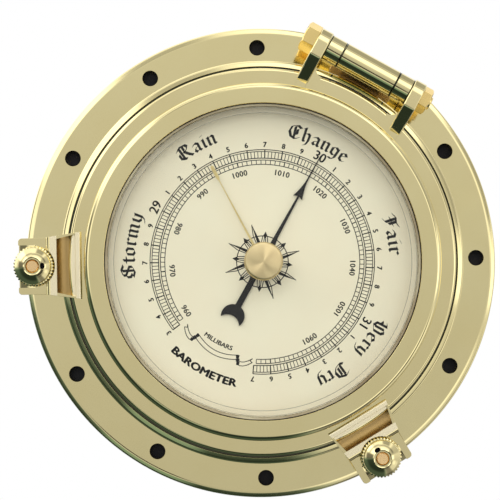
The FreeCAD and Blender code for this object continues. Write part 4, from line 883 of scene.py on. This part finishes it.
def pen_word(bm, word, centre, span, base, height):
    """Write a word round the dial with a broad pen, its tops outwards."""
    total = sum(LETTERS[letter][1] for letter in word) / 100
    stretch = radians(span) * (base + height / 2) / (total * height)
    # Half the pen's edge, held at 38 degrees, and half the thinnest line that it leaves.
    nib = Vector(at(1, 38)) * 0.125
    hair = 0.028
    overlap = 0.012

    def bend(x, y):
        turn = radians(centre) - (x - total / 2) * height * stretch / (base + height / 2)
        radius = base + y * height
        return radius * cos(turn), radius * sin(turn)

    x = 0
    for letter in word:
        strokes, width = LETTERS[letter]
        for stroke in strokes:
            for start, end in zip(stroke, stroke[1:]):
                start, end = (Vector((x + point[0], point[1])) / 100 for point in (start, end))
                along = (end - start).normalized()
                side = Vector((-along.y, along.x))
                reach = nib if abs(nib.dot(side)) > hair else nib + side * copysign(hair, nib.dot(side))
                start, end = start - along * overlap, end + along * overlap
                corners = [start - reach, end - reach, end + reach, start + reach]
                if (corners[1] - corners[0]).cross(corners[3] - corners[0]) < 0:
                    corners.reverse()
                plate(bm, [bend(p.x, p.y) for p in corners])
        x += width


def typed(text, size, spacing=1.0):
    """Mesh of a line of plain figures or capitals, centred on the origin, in millimetres."""
    curve = bpy.data.curves.new("type", "FONT")
    curve.body = text
    curve.size = size
    curve.space_character = spacing
    curve.align_x = "CENTER"
    curve.align_y = "CENTER"
    curve.resolution_u = 3
    curve.extrude = PRINT / 2
    holder = added("type", curve)
    bpy.context.view_layer.update()
    mesh = bpy.data.meshes.new_from_object(holder.evaluated_get(bpy.context.evaluated_depsgraph_get()))
    bpy.data.objects.remove(holder)
    bpy.data.curves.remove(curve)
    return mesh


def stamp(bm, text, radius, angle, height, bold, **layout):
    """Set type on the dial with its tops outwards or inwards, printed four times for weight."""
    for shift in ((-bold, 0), (bold, 0), (0, -0.6 * bold), (0, 0.6 * bold)):
        print_line(bm, text, radius, angle, height, shift, **layout)


def print_line(bm, text, radius, angle, height, shift, width=None, outward=True, bend=False, spacing=1.0):
    """Print one line of type, of a given height and perhaps width, straight or bent round the dial."""
    mesh = typed(text, height / 0.72, spacing)
    xs = [v.co.x for v in mesh.vertices]
    ys = [v.co.y for v in mesh.vertices]
    middle = Vector(((min(xs) + max(xs)) / 2, (min(ys) + max(ys)) / 2, 0))
    stretch = width / (max(xs) - min(xs)) if width else 1.0
    squeeze = height / (max(ys) - min(ys))
    sign = 1 if outward else -1
    for vertex in mesh.vertices:
        x = (vertex.co.x - middle.x) * stretch + shift[0]
        y = (vertex.co.y - middle.y) * squeeze + shift[1]
        if bend:
            turn = radians(angle) - sign * x / radius
            r = radius + sign * y
            spot = (r * cos(turn), r * sin(turn))
        else:
            out = Vector(at(1, angle))
            right = Vector((out.y, -out.x))
            spot = tuple(out * (radius + sign * y) + right * sign * x)
        vertex.co = (spot[0], spot[1], DIAL + PRINT / 2 + vertex.co.z)
    bm.from_mesh(mesh)
    bpy.data.meshes.remove(mesh)


def dial():
    """Enamelled plate, and everything printed on it as one piece."""
    plate_profile = [(3.0, 16), (65.8, 16), (65.8, DIAL), (3.0, DIAL)]
    disc = lathe("dial_plate_look", round_corners(plate_profile, {3: 0.15, 2: 0.2}))
    installed(weighted(disc), "case", DIAL_FACE, "dial_enamel", "dial_plate")
    bm = bmesh.new()
    scale_rings(bm)
    rose(bm)
    ribbon(bm)
    for word, centre, span in (("Stormy", 201.5, 28.7), ("Rain", 148, 18.2), ("Change", 93.5, 28.6),
                               ("Fair", 40.5, 17.6), ("Very", -6.5, 18.2), ("Dry", -29.5, 14.2)):
        pen_word(bm, word, centre, span, 47.8, 3.4)
    for k in range(35):
        value = 28.3 + 0.1 * k
        whole = abs(value - round(value)) < 0.01
        if whole:
            stamp(bm, "%d" % round(value), 45.0, inches(value), 3.45, bold=0.11, bend=True)
        else:
            stamp(bm, "%d" % (round(value * 10) % 10), 44.0, inches(value), 1.85, bold=0.12)
    for value in range(960, 1070, 10):
        angle = millibars(value)
        outward = value not in (960, 970, 980, 1050, 1060)
        stamp(bm, "%d" % value, 33.9, angle, 2.05, outward=outward, bold=0.09, bend=True, spacing=1.08)
    stamp(bm, "BAROMETER", 46.45, 270, 2.75, width=27.0, outward=False, bold=0.26, bend=True)
    stamp(bm, "MILLIBARS", 34.35, 270, 1.65, width=11.5, outward=False, bold=0.09, bend=True)
    mesh = bpy.data.meshes.new("dial_print")
    bm.to_mesh(mesh)
    bm.free()
    mesh.transform(FRONT @ Matrix.Scale(MM, 4))
    installed(added("dial_print", mesh), "case", INK, "black_paint")


# ------------------------------------------------------------------ carried-over CAD nodes

CAD_FINISH = (
    (INNER_BRASS, "rear_cover dial_screws dial_pillars movement_plate capsule_foot capsule_post spring_bridge"
     " arbor_bridge arbor_bridge_posts rocker_standards hairspring_stud glass_retainer bush_nut"
     " hairspring_collet main_lever"),
    (GOLD_BRASS, "rear_cover_screws bracket_screws hinge_block_screws adjusting_screw"),
    (POLISHED, "bracket_pin_left bracket_pin_right"),
    (PALE_BRASS, "capsule set_spindle"),
    (STEEL, "pillar_screws mainspring spring_bridge_screws arbor_bridge_screws hairspring chain arbor"
     " rocking_shaft link"),
    (GILT, "set_hand"),
    (INK, "indicator_hand"),
    (RUBBER, "door_seal"),
)


def finish_cad_nodes():
    """Give each CAD node that is shown as it is its material."""
    for material, names in CAD_FINISH:
        for name in names.split():
            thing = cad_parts[name]
            thing.data.materials.clear()
            thing.data.materials.append(material)


# ------------------------------------------------------------------ studio

ROLL = radians(28.8)
IMAGE_RIGHT = Vector((cos(ROLL), 0, sin(ROLL)))
IMAGE_UP = Vector((-sin(ROLL), 0, cos(ROLL)))
TOWARDS = Vector((0, -1, 0))
CAMERA_DISTANCE = 596
LENS = 111.8664


def camera():
    """Nearly square on to the dial, from a little to its lower left, and rolled."""
    data = bpy.data.cameras.new("camera")
    data.sensor_width = 36
    data.lens = LENS
    data.clip_start = 0.05
    thing = added("camera", data)
    target = TOWARDS * 4 * MM - IMAGE_RIGHT * 4.40 * MM + IMAGE_UP * 4.68 * MM
    sideways = radians(1.05)
    upwards = radians(1.15)
    view = (TOWARDS - IMAGE_RIGHT * tan(sideways) - IMAGE_UP * tan(upwards)).normalized()
    place = target + view * CAMERA_DISTANCE * MM
    right = IMAGE_UP.cross(view).normalized()
    up = view.cross(right)
    thing.matrix_world = Matrix((
        (right.x, up.x, view.x, place.x),
        (right.y, up.y, view.y, place.y),
        (right.z, up.z, view.z, place.z),
        (0, 0, 0, 1),
    ))
    bpy.context.scene.camera = thing


def towards(off_axis, around):
    """World direction at an angle off the dial's axis, turned round it as the camera sees it."""
    a = radians(off_axis)
    b = radians(around)
    return TOWARDS * cos(a) + (IMAGE_RIGHT * cos(b) + IMAGE_UP * sin(b)) * sin(a)


# Sectors of the tent that polished brass reflects: angle round the dial's axis and half width, nearest and
# furthest angle off the axis, and how soft the edges are round and off it, all in degrees. The last number
# is the brightness added, or the part of it that is kept.
BRIGHT_PANELS = (
    (142, 14, 15, 140, 5, 5, 0.9), (66, 26, 20, 50, 8, 5, 0.55), (0, 9, 30, 62, 4, 5, 0.9),
    (338, 8, 42, 75, 4, 5, 0.3), (174, 14, 12, 34, 6, 4, 0.5), (172, 12, 88, 150, 4, 5, 0.5),
    (45, 8, 20, 45, 4, 4, 0.3), (314, 26, 13, 32, 7, 3, 0.65), (316, 26, 62, 90, 7, 4, 0.4),
    (20, 16, 14, 30, 6, 4, 0.45),
)
DARK_PANELS = (
    (68, 14, 68, 125, 5, 5, 0.35), (28, 14, 47, 120, 5, 5, 0.6), (300, 9, 55, 125, 5, 5, 0.3),
    (112, 10, 19, 44, 5, 5, 0.5), (174, 12, 42, 78, 5, 4, 0.25), (241, 14, 10, 20, 4, 1.5, 0.08),
    (60, 40, 57, 66, 6, 3, 0.45), (130, 30, 60, 70, 6, 3, 0.5), (314, 28, 38, 54, 7, 3, 0.12),
    (20, 14, 34, 46, 6, 3, 0.3),
)
GREEN_GAP = (236, 50, 28, 172, 8, 5)
GAP_GLEAM = (241, 12, 24, 41, 4, 2.5)


def studio_world():
    """Pale tent with brighter and darker sectors and a dark green gap; white behind the object."""
    world = bpy.data.worlds.new("studio")
    bpy.context.scene.world = world
    world.use_nodes = True
    tree = world.node_tree
    tree.nodes.clear()
    new, link = tree.nodes.new, tree.links.new
    direction = new("ShaderNodeTexCoord").outputs["Generated"]

    def dot(vector):
        node = new("ShaderNodeVectorMath")
        node.operation = "DOT_PRODUCT"
        link(direction, node.inputs[0])
        node.inputs[1].default_value = vector
        return node.outputs["Value"]

    def ramp(value, edge0, edge1, low=0.0, high=1.0):
        node = new("ShaderNodeMapRange")
        node.interpolation_type = "SMOOTHSTEP"
        for name, number in (("From Min", edge0), ("From Max", edge1), ("To Min", low), ("To Max", high)):
            node.inputs[name].default_value = number
        link(value, node.inputs["Value"])
        return node.outputs["Result"]

    def maths(operation, one, two=0.0):
        node = new("ShaderNodeMath")
        node.operation = operation
        for socket, value in zip(node.inputs, (one, two)):
            if isinstance(value, (int, float)):
                socket.default_value = value
            else:
                link(value, socket)
        return node.outputs[0]

    def times(one, two):
        return maths("MULTIPLY", one, two)

    front = dot(TOWARDS)
    off_axis = times(maths("ARCCOSINE", front), 180 / pi)
    across = maths("SQRT", maths("MAXIMUM", maths("SUBTRACT", 1.0, times(front, front)), 1e-6))

    def panel(around, half, near, far, soft_around, soft):
        """1 in a sector of the tent between two angles off the dial's axis, 0 outside it."""
        turn = radians(around)
        sideways = maths("DIVIDE", dot(IMAGE_RIGHT * cos(turn) + IMAGE_UP * sin(turn)), across)
        sector = ramp(sideways, cos(radians(half + soft_around)),
                      cos(radians(max(half - soft_around, 0.5))))
        inner = ramp(off_axis, near - soft, near + soft)
        outer = ramp(off_axis, far - soft, far + soft, 1.0, 0.0)
        return times(sector, times(inner, outer))

    # Middle grey round the camera, brighter outwards and upwards.
    level = ramp(off_axis, 8, 34, 0.63, 0.80)
    level = times(level, maths("MAXIMUM", maths("ADD", times(dot(IMAGE_UP), 0.7), 1.0), 0.55))
    for *sector, gain in BRIGHT_PANELS:
        level = maths("ADD", level, times(panel(*sector), gain))
    for *sector, keep in DARK_PANELS:
        level = times(level, maths("SUBTRACT", 1.0, times(panel(*sector), 1 - keep)))
    gap = panel(*GREEN_GAP)
    loss = times(gap, ramp(off_axis, 66, 84, 0.91, 0.76))
    level = times(level, maths("SUBTRACT", 1.0, loss))
    level = maths("ADD", level, times(panel(*GAP_GLEAM), 0.3))
    tint = new("ShaderNodeMix")
    tint.data_type = "RGBA"
    link(gap, tint.inputs["Factor"])
    tint.inputs[6].default_value = (1.0, 0.995, 0.975, 1)
    tint.inputs[7].default_value = (0.62, 0.95, 0.80, 1)
    tent = new("ShaderNodeBackground")
    link(tint.outputs[2], tent.inputs["Color"])
    link(level, tent.inputs["Strength"])
    white = new("ShaderNodeBackground")
    white.inputs["Color"].default_value = (1, 1, 1, 1)
    path = new("ShaderNodeLightPath")
    mix = new("ShaderNodeMixShader")
    link(path.outputs["Is Camera Ray"], mix.inputs["Fac"])
    link(tent.outputs["Background"], mix.inputs[1])
    link(white.outputs["Background"], mix.inputs[2])
    output = new("ShaderNodeOutputWorld")
    link(mix.outputs["Shader"], output.inputs["Surface"])


def lamp(name, off_axis, around, distance, size, power):
    """Soft round lamp that lights the paint and print but leaves no spot on the metal."""
    data = bpy.data.lights.new(name, "AREA")
    data.shape = "DISK"
    data.size = size
    data.energy = power
    thing = added(name, data)
    away = towards(off_axis, around)
    thing.location = away * distance
    thing.rotation_euler = away.to_track_quat("Z", "Y").to_euler()
    thing.visible_glossy = False
    thing.visible_transmission = False


def hole_backs():
    """Black discs of painted shade just behind each of the flange's nine open holes, where the wall lies in
    shade.
    """
    disc = [(0, -0.5), (5, -0.5), (5, -0.3), (0, -0.3)]
    backs = merged("hole_backs", [lathe("disc", disc, place, 48) for place in hole_places()])
    backs.data.materials.append(PAINTED_SHADE_BLACK)


def studio():
    """World, lamp, black discs of painted shade behind the holes, and pale floor, with plain colours."""
    studio_world()
    lamp("lamp_high_left", 13, 120, 1.2, 0.7, 6.2)
    hole_backs()
    bm = bmesh.new()
    floor_corners = ((-700, -750), (700, -750), (700, 650), (-700, 650))
    bm.faces.new([bm.verts.new((x, y, -1400)) for x, y in floor_corners])
    floor = finish_mesh("floor", bm, Matrix.Identity(4))
    floor.data.materials.append(FLOOR)
    floor.visible_glossy = False
    view = bpy.context.scene.view_settings
    view.view_transform = "Standard"
    view.look = "None"


base_casting()
hinge_parts()
dogs()
door_casting()
glazing()
set_knob()
dial()
finish_cad_nodes()
studio()
camera()
